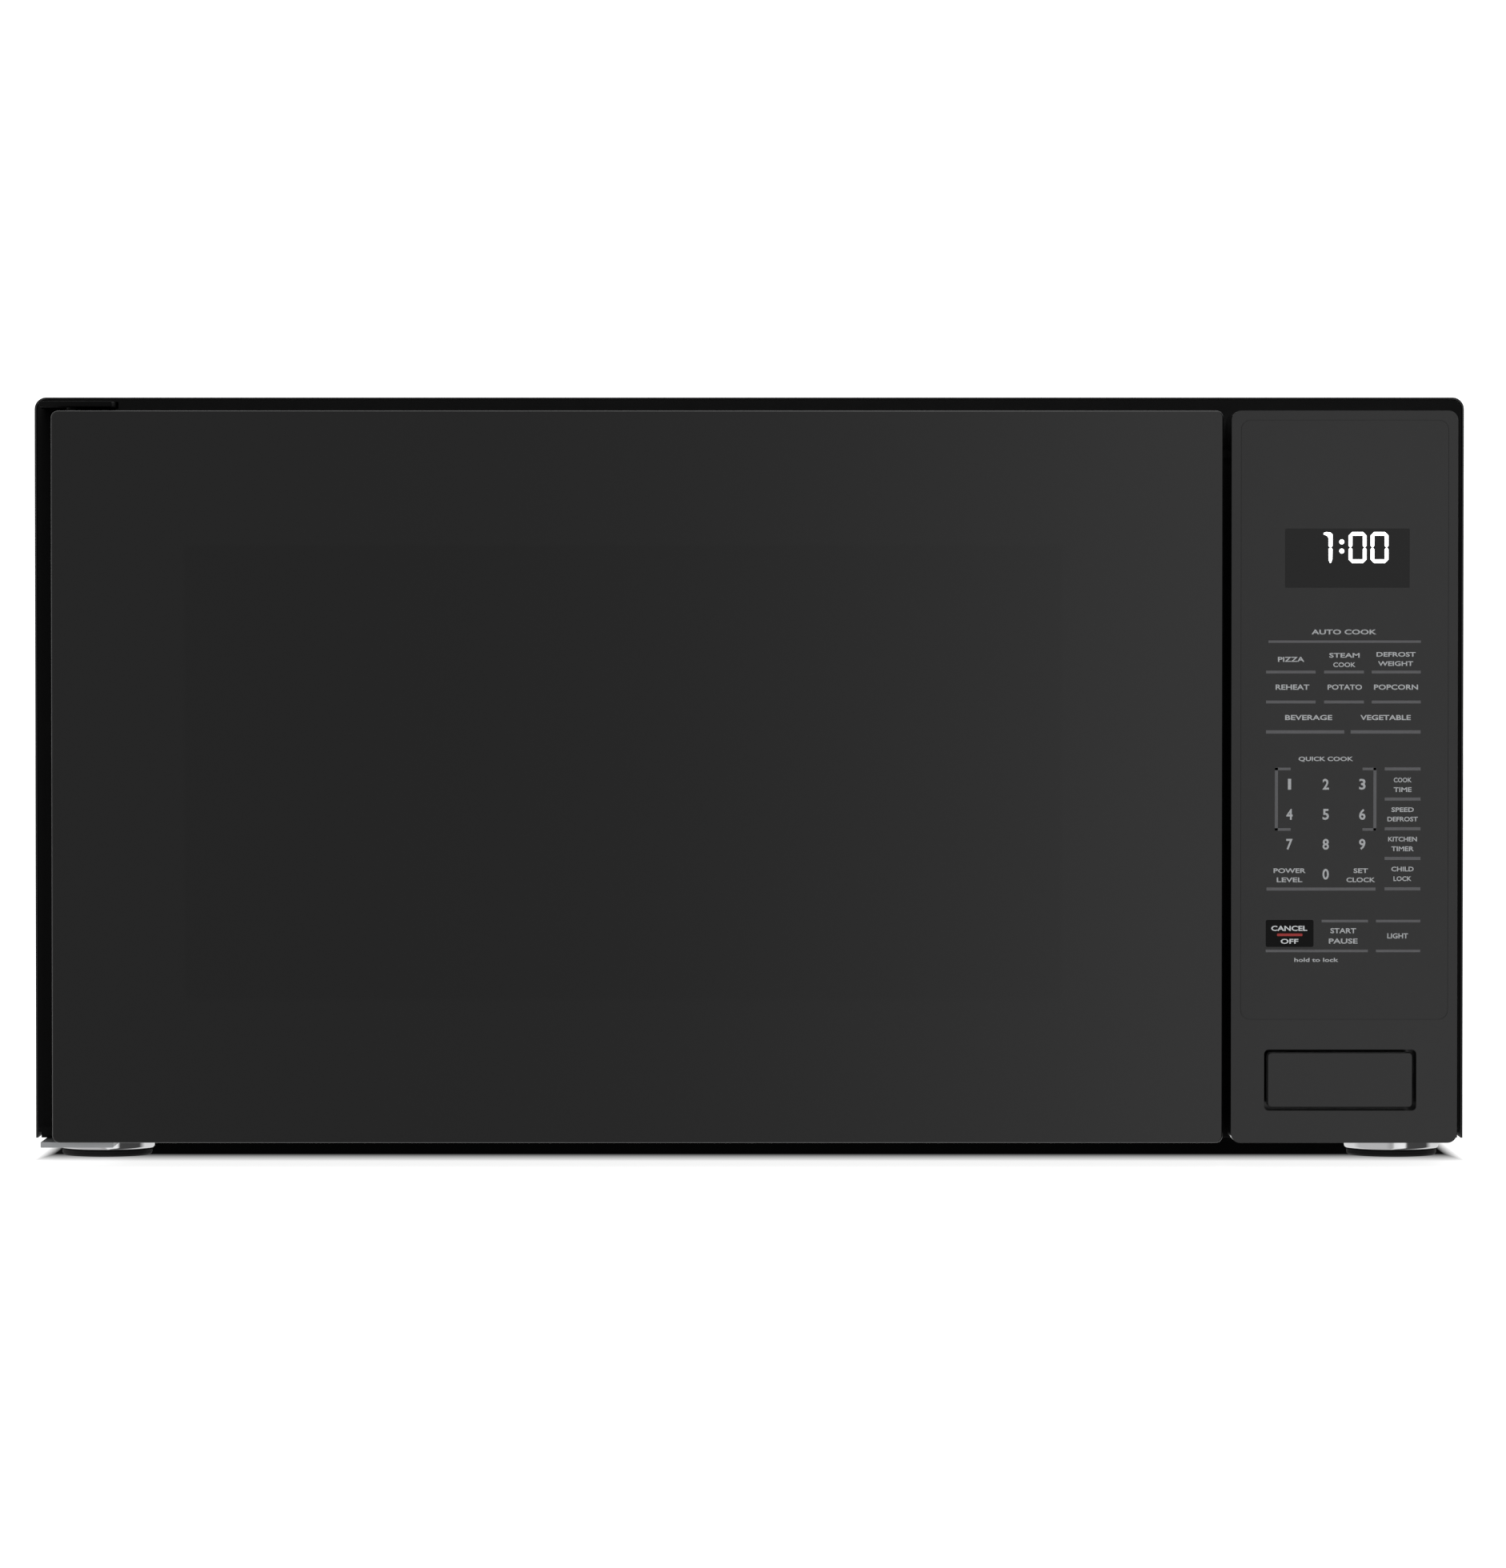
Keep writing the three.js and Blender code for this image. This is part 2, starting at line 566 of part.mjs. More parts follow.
// ---------- feet: two adjustable front feet with a bright collar over a pad, two plain rear feet ----------
const padHeight = 2.7;
const collar = join(
  rod("z", [0, 0], frontFootRadius, padHeight + gap, footHeight - gap, 32),
  rod("z", [0, 0], footStud, footHeight - 1, footHeight + 6, 12),
);
const frontPad = rod("z", [0, 0], frontFootRadius - 1, 0, padHeight, 32);
const rearPad = join(
  rod("z", [0, 0], rearFootRadius, 0, footHeight - gap, 24),
  rod("z", [0, 0], footStud, footHeight - 1, footHeight + 6, 12),
);
feet.forEach(([place, x, y]) => {
  const isFront = place.startsWith("front");
  if (isFront) piece(cabinet, `${place}_foot_collar`, collar, chrome, x, y);
  piece(cabinet, `${place}_foot_pad`, isFront ? frontPad : rearPad, rubber, x, y);
});

// ---------- door hinges: a plate and pin over the door and another under it ----------
const pinReach = 18;
const plateFront = hingeY - 9;
const plateBack = frameBack + 17;
const upperPlateTop = frameTop - steel - gap;
const upperHinge = join(
  box(hingePlateLeft, hingePlateRight, plateFront, plateBack, upperPlateTop - hingePlate, upperPlateTop),
  rod("z", [hingeX, hingeY], hingePin, faceTop - pinReach, upperPlateTop - hingePlate / 2, 16),
);
piece(cabinet, "upper_hinge", upperHinge, zincSteel);
const lowerPlateTop = footHeight - gap;
const lowerHinge = join(
  box(hingePlateLeft, hingePlateRight, plateFront, plateBack, lowerPlateTop - hingePlate, lowerPlateTop),
  rod("z", [hingeX, hingeY], hingePin, lowerPlateTop - hingePlate / 2, faceBottom + pinReach, 16),
);
piece(cabinet, "lower_hinge", lowerHinge, zincSteel);

// ---------- latch board behind the front frame, with a catch under each hook ----------
const latchSheetLeft = hookX + 5.5;
const latchLeft = hookX - 7.5;
const latchFront = frameBack + 2 * gap;
const latchBack = hookTip + 31;
const catchFront = hookTip - 12;
const catchBack = hookTip - 8;
const pivotY = hookTip - 24;
const pivotZ = stemZ + 29;
const pivotPin = 3;
const leverX = stemX;
const latchBoard = cut(
  join(
    box(latchSheetLeft, latchSheetLeft + 2.5, latchFront, latchBack, pivotZ - 8, upperHook.top + 22),
    box(latchLeft, latchSheetLeft + 1, latchFront, latchFront + 2, pivotZ - 8, upperHook.top + 22),
    ...hooks.map((hook) =>
      box(latchLeft, latchSheetLeft + 1, catchFront, catchBack, hook.bottom - 9, hook.bottom - 0.4),
    ),
    rod("x", [pivotY, pivotZ], 6.5, latchSheetLeft + 1, latchSheetLeft + 12, 20),
  ),
  ...hooks.map((hook) => hookSlot(hook, latchFront - 1, latchFront + 2.5)),
  rod("x", [pivotY, pivotZ], pivotPin + runningGap, latchLeft - 5, latchSheetLeft + 13, 20),
  box(latchLeft - 1, hookX + 5.2, latchFront - 1, latchFront + 3, pivotZ - 9, pivotZ + 8),
);
piece(cabinet, "latch_board", latchBoard, whiteNylon);

// Each interlock switch has a plunger that the hook's tip holds in while the door is shut.
const switchFront = hookTip + 2.5;
const switchSpots = [
  ["lower", lowerHook.top - 7.5, lowerHook.top - 3.5],
  ["middle", upperHook.bottom - 8, upperHook.bottom + 3],
  ["upper", upperHook.bottom + 8.3, upperHook.bottom + 11.5],
];
switchSpots.forEach(([name, z0, plungerZ]) => {
  const bore = rect(hookX - 1.3, hookX + 1.3, plungerZ - 1.8, plungerZ + 1.8);
  const pocket = prism("y", bore, switchFront - 1, switchFront + 3.8);
  const body = join(
    box(hookX - 5, latchSheetLeft - gap, switchFront, switchFront + 28, z0, z0 + 16),
    box(hookX - 1, hookX + 1, switchFront + 27, switchFront + 34, z0 + 3, z0 + 6),
    box(hookX - 1, hookX + 1, switchFront + 27, switchFront + 34, z0 + 10, z0 + 13),
  );
  piece(cabinet, `${name}_interlock_switch`, cut(body, pocket), darkPlastic);
  const plunger = box(-1, 1, 0, 5, -1.5, 1.5);
  piece(oven, `${name}_switch_plunger`, plunger, whiteNylon, hookX, hookTip + gap, plungerZ);
});

// ---------- release lever: the button's stem pushes its lower arm, and its finger lifts the hooks ----------
const fingerY = hookTip + 1;
const release = join(
  rod("x", [pivotY, pivotZ], pivotPin, hookX - 4, leverX + 3, 16),
  box(hookX - 2, hookX + 2, pivotY, fingerY + 2, pivotZ - 3, pivotZ + 3),
  box(hookX - 2, hookX + 2, fingerY - 2, fingerY + 2, pivotZ, lowerHook.bottom - barb - 0.6),
  box(leverX - 3, leverX + 3, pivotY - 2, pivotY + 2, stemZ - 5, pivotZ),
);
piece(oven, "release_lever", release, whiteNylon);

// ---------- door: glass face on a moulded frame, steel choke, screen, inner glass and inner cover ----------
const door = group(oven);
const doorMidX = (doorLeft + doorRight) / 2;
const faceMidZ = (faceBottom + faceTop) / 2;
const windowLeft = doorMidX - windowWidth / 2;
const windowRight = doorMidX + windowWidth / 2;
const windowBottom = faceMidZ - windowHeight / 2 + 2;
const windowTop = windowBottom + windowHeight;
const glassBack = front + glassThickness;
const glass = prism("y", rect(doorLeft, doorRight, faceBottom, faceTop, 3), front, glassBack);
piece(door, "door_glass", glass, blackGlass);

const doorWall = 3;
const doorFrameFront = glassBack + gap;
const lipBack = doorFrameFront + 2;
const lip = [doorLeft + 26, doorRight - 26, faceBottom + 26, faceTop - 26];
const wallInner = [doorLeft + doorWall, doorRight - doorWall, faceBottom + doorWall, faceTop - doorWall];
const bossRadius = 6.5;
const bossReach = pinReach + 3;
const chamfer = 3;
const barSide = gap + 3; // from the latch bar's middle to its guides
const guideZ = [lowerHook.top + 45, upperHook.bottom - 45];
const springBottom = 53;
const edgeCorner = polygon([
  [doorLeft - 1, doorBack - chamfer], [doorLeft + chamfer, doorBack + 1], [doorLeft - 1, doorBack + 1],
]);
const doorFrame = cut(
  join(
    tube("y", [doorLeft, doorRight, faceBottom, faceTop, 3], wallInner, doorFrameFront, doorBack),
    tube("y", [doorLeft + 1, doorRight - 1, faceBottom + 1, faceTop - 1], lip, doorFrameFront, lipBack),
    rod("z", [hingeX, hingeY], bossRadius, faceTop - bossReach, faceTop - 1, 20),
    rod("z", [hingeX, hingeY], bossRadius, faceBottom + 1, faceBottom + bossReach, 20),
    ...guideZ.map((z) => box(hookX + barSide, doorRight - 1, doorBack - 17.5, doorBack - 9.5, z, z + 10)),
    box(hookX - 3, doorRight - 1, doorBack - 17.5, doorBack - 9.5, springBottom - 4, springBottom - 0.3),
  ),
  rod("z", [hingeX, hingeY], hingePin + runningGap, faceTop - bossReach - 1, faceTop + 1, 20),
  rod("z", [hingeX, hingeY], hingePin + runningGap, faceBottom - 1, faceBottom + bossReach + 1, 20),
  prism("z", edgeCorner, 0, top),
);
piece(door, "door_frame", doorFrame, darkPlastic);

const chokeFront = lipBack + gap;
const chokeBack = doorBack - 5.7;
const chokeOuter = [doorLeft + 17, doorRight - 25, faceBottom + 12, faceTop - 12];
const windowHole = [windowLeft, windowRight, windowBottom, windowTop];
const grow = ([a0, a1, b0, b1], by) => [a0 - by, a1 + by, b0 - by, b1 + by];
const choke = join(
  tube("y", chokeOuter, windowHole, chokeFront, chokeFront + steel),
  tube("y", chokeOuter, grow(chokeOuter, -steel), chokeFront, chokeBack),
  tube("y", grow(windowHole, 5 + steel), grow(windowHole, 5), chokeFront, chokeBack),
);
piece(door, "door_choke", choke, zincSteel);

const screenFront = chokeFront + steel + gap;
const screen = prism("y", rect(...grow(windowHole, 4)), screenFront, screenFront + 0.6);
piece(door, "door_screen", screen, blackPaint);
const innerGlass = prism("y", rect(...grow(windowHole, 9)), doorBack - 5.4, doorBack - 2.4);
piece(door, "door_inner_glass", innerGlass, clearGlass);
const innerCover = cut(
  tube("y", grow(wallInner, -gap), windowHole, doorBack - 2.1, doorBack),
  ...hooks.map((hook) => hookSlot(hook, doorBack - 3, doorBack + 1)),
);
piece(door, "door_inner_cover", innerCover, blackPlastic);

// ---------- door latch: two hooks on one bar that slides up in the door ----------
const barFront = doorBack - 16.5;
const barBack = barFront + 6;
const barBottom = lowerHook.bottom - 10;
const hookShape = (hook) => {
  const { bottom, top: hookTop } = hook;
  return polygon([
    [barFront + 3, bottom], [hookTip - 6, bottom], [hookTip - 6, bottom - barb], [hookTip - 3, bottom - barb],
    [hookTip, bottom - 1], [hookTip, hookTop - 1], [hookTip - 1, hookTop], [barFront + 3, hookTop],
  ]);
};
const latch = join(
  box(hookX - 3, hookX + 3, barFront, barBack, barBottom, upperHook.top + 9),
  ...hooks.map((hook) => prism("x", hookShape(hook), hookX - hookWide / 2, hookX + hookWide / 2)),
);
piece(oven, "door_latch", latch, whiteNylon);

// ---------- springs ----------
class Helix extends THREE.Curve {
  constructor(radius, length, turns) {
    super();
    Object.assign(this, { radius, length, turns });
  }

  getPoint(t, target = new THREE.Vector3()) {
    const angle = 2 * Math.PI * this.turns * t;
    return target.set(this.radius * Math.cos(angle), this.radius * Math.sin(angle), this.length * t);
  }
}
const coil = (radius, wire, length, turns) => {
  const section = new THREE.Shape().absarc(0, 0, wire, 0, 2 * Math.PI);
  const extrudePath = new Helix(radius, length - 2 * wire, turns);
  const options = { steps: turns * 9, extrudePath, curveSegments: 3 };
  return solidOf(new THREE.ExtrudeGeometry(section, options)).translate([0, 0, wire]);
};
const latchSpring = coil(2.2, 0.45, barBottom - gap - springBottom, 5);
piece(door, "latch_spring", latchSpring, springSteel, hookX, (barFront + barBack) / 2, springBottom);

// ---------- control tower: a moulded shell with the keypad sheet, display and the door button ----------
const tower = group(oven);
const shellWall = 2.4;
const towerBack = frameFront - gap;
const sheetInset = 4;
const sheetThickness = 0.5;
const sheetBottom = buttonTop + 14;
const displayLeft = towerLeft + 21.8;
const displayRight = towerRight - 19.8;
const displayTop = faceTop - 48;
const displayBottom = displayTop - 28;
const wellBack = front + 22;
const boardZ0 = 62;
const boardY = front + 19.5;
const outline = [towerLeft, towerRight, faceBottom, faceTop];
const sheetArea = [towerLeft + sheetInset, towerRight - sheetInset, sheetBottom, faceTop - sheetInset];
const buttonHole = grow([buttonLeft, buttonRight, buttonBottom, buttonTop], buttonSlit);
const displayFace = [displayLeft, displayRight, displayBottom, displayTop];
const displayHole = prism("y", rect(...grow(displayFace, gap)), front - 1, front + shellWall + 1);
const wellWall = tube("y", grow(buttonHole, 1.5), buttonHole, front + 1, wellBack);
const wellFloor = prism("y", rect(...grow(buttonHole, 1.5)), wellBack - 1.5, wellBack);
const boardPosts = grid(
  [towerLeft + 9, 6, controlWidth - 24, 2],
  [boardZ0 + 4, 6, faceTop - boardZ0 - 30, 2],
  (x0, x1, z0, z1) => box(x0, x1, front + 2, boardY - gap, z0, z1),
);
const towerShell = cut(
  join(
    cut(
      prism("y", rect(...outline, 4), front, towerBack),
      prism("y", rect(...grow(outline, -shellWall), 2), front + shellWall, towerBack + 1),
    ),
    wellWall,
    wellFloor,
    ...boardPosts,
  ),
  prism("y", rect(...buttonHole, 2), front - 1, wellBack - 1.5),
  box(stemX - 3, stemX + 3, wellBack - 3, wellBack + 1, stemZ - 4, stemZ + 4),
  prism("y", rect(...sheetArea, 4), front - 1, front + sheetThickness + gap),
  displayHole,
);
piece(tower, "control_panel", towerShell, blackPlastic);

const keypadSheet = cut(
  prism("y", rect(...grow(sheetArea, -gap), 4), front, front + sheetThickness),
  displayHole,
);
piece(tower, "keypad_sheet", keypadSheet, blackPlastic);
const lens = prism("y", rect(...displayFace), front, front + 2.5);
piece(tower, "display_window", lens, smokedLens);
const ledBlock = prism("y", rect(...grow(displayFace, -1.5)), front + 2.8, boardY - gap);
piece(tower, "display_module", ledBlock, darkPlastic);

const boardX0 = towerLeft + 6;
const boardX1 = towerRight - 6;
const circuit = join(
  box(boardX0, boardX1, boardY, boardY + 1.6, boardZ0, faceTop - 10),
  box(boardX0 + 8, boardX0 + 30, boardY + 1, boardY + 15, boardZ0 + 12, boardZ0 + 36),
  box(boardX1 - 40, boardX1 - 10, boardY + 1, boardY + 14, boardZ0 + 10, boardZ0 + 40),
  box(boardX0 + 10, boardX0 + 24, boardY + 1, boardY + 12, boardZ0 + 60, boardZ0 + 90),
  box(boardX0 + 30, boardX0 + 60, boardY + 1, boardY + 4, boardZ0 + 70, boardZ0 + 90),
  box(boardX0 + 20, boardX1 - 18, boardY + 1, boardY + 9, boardZ0 + 120, boardZ0 + 128),
);
piece(tower, "control_board", circuit, laminate);

const buttonFace = prism("y", rect(0, buttonRight - buttonLeft, 0, buttonTop - buttonBottom, 1.5), 0.3, 9);
const doorButton = join(
  buttonFace,
  box(2.5, 6.5, 8.5, pivotY - 2 - 0.5 - front, stemZ - buttonBottom - 2, stemZ - buttonBottom + 2),
);
piece(oven, "door_button", doorButton, blackPlastic, buttonLeft, front, buttonBottom);
const buttonSpring = coil(4.5, 0.5, wellBack - 1.5 - gap - (front + 9 + gap), 3);
const buttonMidX = (buttonLeft + buttonRight) / 2;
const springBack = wellBack - 1.5 - gap;
const coilMesh = piece(tower, "button_spring", buttonSpring, springSteel, buttonMidX, springBack, stemZ);
coilMesh.rotation.x = Math.PI / 2;

// ---------- turntable: motor under the cavity, coupler, roller ring with three wheels, glass tray ----------
const turntable = group(oven, cavityMidX, cavityMidY, cavityFloorHeight);
const motorTop = -steel - gap;
const turntableMotor = cut(
  join(
    rod("z", [0, 0], 24, motorTop - 17, motorTop, 28),
    box(-29, 29, -5, 5, motorTop - 1, motorTop),
    box(-8, 8, 20, 32, motorTop - 14, motorTop - 4),
  ),
  rod("z", [0, 0], motorShaft + 0.4, motorTop - 14, motorTop + 1, 16),
);
piece(turntable, "turntable_motor", turntableMotor, zincSteel);

const wheelRadius = 9;
const wheelWidth = 6;
const wheelBore = 2.5;
const trayBottom = 2 * wheelRadius + 2 * gap;
const trayRadius = Math.min(cavityRight - cavityLeft, cavityBack - cavityFront) / 2 - 25;
const couplerTop = trayBottom - 0.4;
const arms = [0, 120, 240].map((turn) =>
  box(0, 26, -4.5, 4.5, couplerTop - 8, couplerTop).rotate([0, 0, turn]),
);
const coupler = join(
  rod("z", [0, 0], motorShaft, motorTop - 13, 3, 16),
  rod("z", [0, 0], 12, 1.5, couplerTop - 3, 24),
  ...arms,
);
piece(turntable, "turntable_coupler", coupler, whiteNylon);

const trayPlate = turned(
  [
    [0, trayBottom], [trayRadius - 26, trayBottom],
    [trayRadius - 3, trayBottom + 6], [trayRadius, trayBottom + 11],
    [trayRadius - 2.5, trayBottom + 12.5], [trayRadius - 7, trayBottom + 9.5],
    [trayRadius - 28, trayBottom + 5], [0, trayBottom + 5],
  ],
  64,
);
const lugs = [60, 180, 300].map((turn) =>
  box(14, 24, -3.5, 3.5, trayBottom - 5, trayBottom + 0.5).rotate([0, 0, turn]),
);
piece(turntable, "glass_tray", join(trayPlate, ...lugs), clearGlass);

const ringOuter = 122;
const ringInner = 114;
const axleZ = wheelRadius + gap;
const wheelMid = ringOuter + 6;
const wheelTurns = [90, 210, 330];
const axleEnd = wheelMid + wheelWidth / 2 + 2;
const axle = rod("x", [0, axleZ], wheelBore - runningGap, ringOuter - 3, axleEnd, 12);
const axles = wheelTurns.map((turn) => axle.rotate([0, 0, turn]));
const hoop = turned(
  [
    [ringInner, axleZ - 3], [ringOuter, axleZ - 3], [ringOuter, axleZ + 3], [ringInner, axleZ + 3],
    [ringInner, axleZ - 3],
  ],
  60,
);
const rollers = group(turntable);
piece(rollers, "roller_ring", join(hoop, ...axles), whiteNylon);
const wheel = cut(
  rod("x", [0, 0], wheelRadius, -wheelWidth / 2, wheelWidth / 2, 24),
  rod("x", [0, 0], wheelBore, -wheelWidth, wheelWidth, 12),
);
wheelTurns.forEach((turn, i) => {
  const arm = group(rollers);
  arm.rotation.z = THREE.MathUtils.degToRad(turn);
  piece(arm, `roller_wheel_${i + 1}`, wheel, whiteNylon, wheelMid, 0, axleZ);
});

export default oven;
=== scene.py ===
"""Kitchen microwave oven: the visible pieces, built round the oven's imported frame.

Shapes are worked in millimetres and placed in metres, in the frame's own axes: +Z up, the door facing -Y.
"""

import json
import math

import bmesh
import bpy
from mathutils import Matrix, Vector

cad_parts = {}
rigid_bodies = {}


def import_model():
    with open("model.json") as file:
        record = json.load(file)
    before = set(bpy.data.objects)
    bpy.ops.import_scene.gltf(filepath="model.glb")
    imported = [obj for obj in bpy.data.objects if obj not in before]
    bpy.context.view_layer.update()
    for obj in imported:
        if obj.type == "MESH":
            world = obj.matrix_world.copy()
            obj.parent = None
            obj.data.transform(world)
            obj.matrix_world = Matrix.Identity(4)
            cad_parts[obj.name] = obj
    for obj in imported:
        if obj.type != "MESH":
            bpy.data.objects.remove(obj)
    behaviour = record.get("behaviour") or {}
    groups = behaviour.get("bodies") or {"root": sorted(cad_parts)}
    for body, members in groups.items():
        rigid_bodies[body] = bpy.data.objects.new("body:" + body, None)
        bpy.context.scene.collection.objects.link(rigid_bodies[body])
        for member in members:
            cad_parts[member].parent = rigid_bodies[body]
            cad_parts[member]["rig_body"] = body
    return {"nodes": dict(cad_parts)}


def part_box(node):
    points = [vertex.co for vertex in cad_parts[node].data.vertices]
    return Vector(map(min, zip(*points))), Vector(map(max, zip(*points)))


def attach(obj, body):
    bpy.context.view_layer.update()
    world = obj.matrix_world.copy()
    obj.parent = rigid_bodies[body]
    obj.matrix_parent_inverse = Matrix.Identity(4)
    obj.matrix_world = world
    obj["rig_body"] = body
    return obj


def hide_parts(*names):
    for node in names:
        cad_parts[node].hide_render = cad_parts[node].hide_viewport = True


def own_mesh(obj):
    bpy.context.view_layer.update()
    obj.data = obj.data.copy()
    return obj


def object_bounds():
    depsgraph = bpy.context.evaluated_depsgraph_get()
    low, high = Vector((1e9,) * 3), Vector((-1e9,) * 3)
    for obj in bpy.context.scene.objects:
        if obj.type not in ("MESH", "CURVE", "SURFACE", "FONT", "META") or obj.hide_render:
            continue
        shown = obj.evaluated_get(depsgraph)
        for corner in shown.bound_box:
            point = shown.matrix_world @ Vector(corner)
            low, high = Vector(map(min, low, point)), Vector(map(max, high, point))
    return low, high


bl_info = {
    "name": "Microwave Oven Pieces",
    "version": (1, 0, 0),
    "blender": (4, 5, 0),
    "location": "3D View > Sidebar > Oven",
    "description": "Builds the visible pieces of a kitchen microwave oven round its frame",
    "category": "Object",
}

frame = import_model()
frame_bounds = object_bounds()

MM = 0.001
ALONG = {"X": Vector((1, 0, 0)), "Y": Vector((0, 1, 0)), "Z": Vector((0, 0, 1))}
FROM_Z = {
    "X": Matrix.Rotation(math.pi / 2, 4, "Y"),
    "Y": Matrix.Rotation(-math.pi / 2, 4, "X"),
    "Z": Matrix.Identity(4),
}
FLAT_DEGREES = 0.2  # two faces that turn by less are one flat area

# In millimetres; the laps are on the left, on the right, below and above.
WINDOW_LAPS = (-2.0, 10.0, 5.0, 5.0)  # of the door glass's black print over the screen
SCREEN_RIM = 4.0  # width of the plain rim round the screen's holes
LENS_LAPS = (0.9, 0.8, 1.0, 2.0)  # of the keypad sheet over the display's lens
LENS_DEPTH = 0.15  # of the lens behind the sheet's face
SHEET_SPREAD = 0.25  # of the keypad sheet past its frame node, over the step round it
BUTTON_EASE = 0.3  # that the button's edges stand back from its slit
CLOCK_DROP, CLOCK_HEIGHT = 3.4, 13.2  # of the clock's digits: from the lens's top edge, and their height
CLOCK_WIDTH, CLOCK_CORNER = 7.6, 1.5  # of a round digit: its width and its cut corners
CLOCK_PLACES = (27.8, 37.1)  # of the round digits' left edges, from the lens's left edge

# In metres, for the painted shadow on the floor under the oven.
SHADE_WIDER = 0.002  # than the oven, on either side
SHADE_SIDE = 0.006  # over which it fades at the sides and the back
SHADE_FRONT = 0.022  # over which it fades before the front feet, and again behind their front edge


def room(node):
    """Lowest and highest corner of one of the frame's nodes, in millimetres."""
    low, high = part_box(node)
    return low / MM, high / MM


# ---------- sizes and colours that can be changed ----------


class OvenStudioSizes(bpy.types.PropertyGroup):
    """Camera and light."""

    distance: bpy.props.FloatProperty(
        name="Distance", description="From the camera to the door's face", default=3.2, min=1, unit="LENGTH")
    height: bpy.props.FloatProperty(
        name="Camera height", description="Of the camera over the floor", default=0.236, unit="LENGTH")
    aim: bpy.props.FloatVectorProperty(
        name="Aim", description="Point of the door's face at the middle of the picture",
        default=(0.0016, -0.2475, 0.163), subtype="XYZ", unit="LENGTH")
    picture: bpy.props.FloatProperty(
        name="Picture height", description="Height that the picture takes in at the door's face",
        default=0.6652, min=0.1, unit="LENGTH")
    surround: bpy.props.FloatProperty(
        name="Surround", description="Brightness of the white surround", default=1.0, min=0)
    softbox: bpy.props.FloatProperty(
        name="Softbox", description="Power of the large soft lamp overhead", default=8.0, min=0, unit="POWER")


class OvenDoorSizes(bpy.types.PropertyGroup):
    """The door."""

    glass_corner: bpy.props.FloatProperty(
        name="Glass corner", description="Radius of the glass's corners", default=0.003, min=0, unit="LENGTH")
    glass_edge: bpy.props.FloatProperty(
        name="Glass edge", description="Width of the ground edge of the glass", default=0.0007, min=0,
        unit="LENGTH")
    mesh_pitch: bpy.props.FloatProperty(
        name="Screen pitch", description="Distance between two holes of the screen", default=0.0046,
        min=0.002, unit="LENGTH")
    mesh_hole: bpy.props.FloatProperty(
        name="Screen hole", description="Width of one hole of the screen", default=0.0031, min=0.001,
        unit="LENGTH")


class OvenTowerSizes(bpy.types.PropertyGroup):
    """The control tower."""

    button_edge: bpy.props.FloatProperty(
        name="Button edge", description="Radius of the door button's edges", default=0.0007, min=0,
        unit="LENGTH")
    print_height: bpy.props.FloatProperty(
        name="Print height", description="Thickness of the printed ink", default=0.00004, min=0.00001,
        unit="LENGTH")
    digit_stroke: bpy.props.FloatProperty(
        name="Digit stroke", description="Width of a lit digit's strokes", default=0.0016, min=0.0005,
        unit="LENGTH")


class OvenColours(bpy.types.PropertyGroup):
    """Colours of the main finishes."""

    glass: bpy.props.FloatVectorProperty(
        name="Glass backing", description="Black layer behind the door's glass",
        default=(0.0026, 0.0026, 0.0026), subtype="COLOR")
    # painted shade: the window's darker colour stands for the dark inside of the oven seen through the glass
    window: bpy.props.FloatVectorProperty(
        name="Window", description="The window's own darker layer", default=(0.0014, 0.0014, 0.0014),
        subtype="COLOR")
    tower: bpy.props.FloatVectorProperty(
        name="Tower", description="Moulded black of the control tower", default=(0.0030, 0.0030, 0.0031),
        subtype="COLOR")
    paint: bpy.props.FloatVectorProperty(
        name="Paint", description="Powder paint of the cabinet", default=(0.0085, 0.0085, 0.0088),
        subtype="COLOR")
    enamel: bpy.props.FloatVectorProperty(
        name="Enamel", description="Enamel of the oven cavity", default=(0.33, 0.335, 0.34), subtype="COLOR")
    ink: bpy.props.FloatVectorProperty(
        name="Ink", description="Grey of the printed words", default=(0.36, 0.37, 0.38), subtype="COLOR")
    rule: bpy.props.FloatVectorProperty(
        name="Rules", description="Grey of the printed rules", default=(0.085, 0.085, 0.09), subtype="COLOR")
    digits: bpy.props.FloatVectorProperty(
        name="Digits", description="Light of the clock's digits", default=(1.0, 1.0, 1.0), subtype="COLOR")


GROUPS = {"oven_studio": OvenStudioSizes, "oven_door": OvenDoorSizes, "oven_tower": OvenTowerSizes,
          "oven_colours": OvenColours}


# ---------- finishes ----------


class Wire:
    """An output socket of a finish. Arithmetic on it adds the Math nodes."""

    def __init__(self, tree, socket):
        self.tree, self.socket = tree, socket

    def node(self, kind, settings=None, inputs=None, out=0):
        """Adds a node, makes its settings, fills its sockets with values or wires, and gives one output."""
        made = self.tree.nodes.new(kind)
        for key, value in (settings or {}).items():
            if key == "stops":
                stops = made.color_ramp.elements
                while len(stops) < len(value):
                    stops.new(1.0)
                for stop, (place, colour) in zip(stops, value):
                    stop.position, stop.color = place, colour
            else:
                setattr(made, key, value)
        for key, value in (inputs or {}).items():
            if isinstance(value, Wire):
                self.tree.links.new(value.socket, made.inputs[key])
            else:
                made.inputs[key].default_value = value
        return Wire(self.tree, made.outputs[out])

    def math(self, operation, *values, clamp=False):
        """One Math node on this wire and the values; clamp keeps its result between 0 and 1."""
        settings = {"operation": operation, "use_clamp": clamp}
        return self.node("ShaderNodeMath", settings, dict(enumerate((self, *values))))

    def __add__(self, other):
        return self.math("ADD", other)

    def __sub__(self, other):
        return self.math("SUBTRACT", other)

    def __rsub__(self, other):
        return -self + other

    def __mul__(self, other):
        return self.math("MULTIPLY", other)

    def __truediv__(self, other):
        return self.math("DIVIDE", other)

    def __neg__(self):
        return self * -1.0

    def __abs__(self):
        return self.math("ABSOLUTE")


def rgba(colour):
    return (*colour[:3], 1.0)


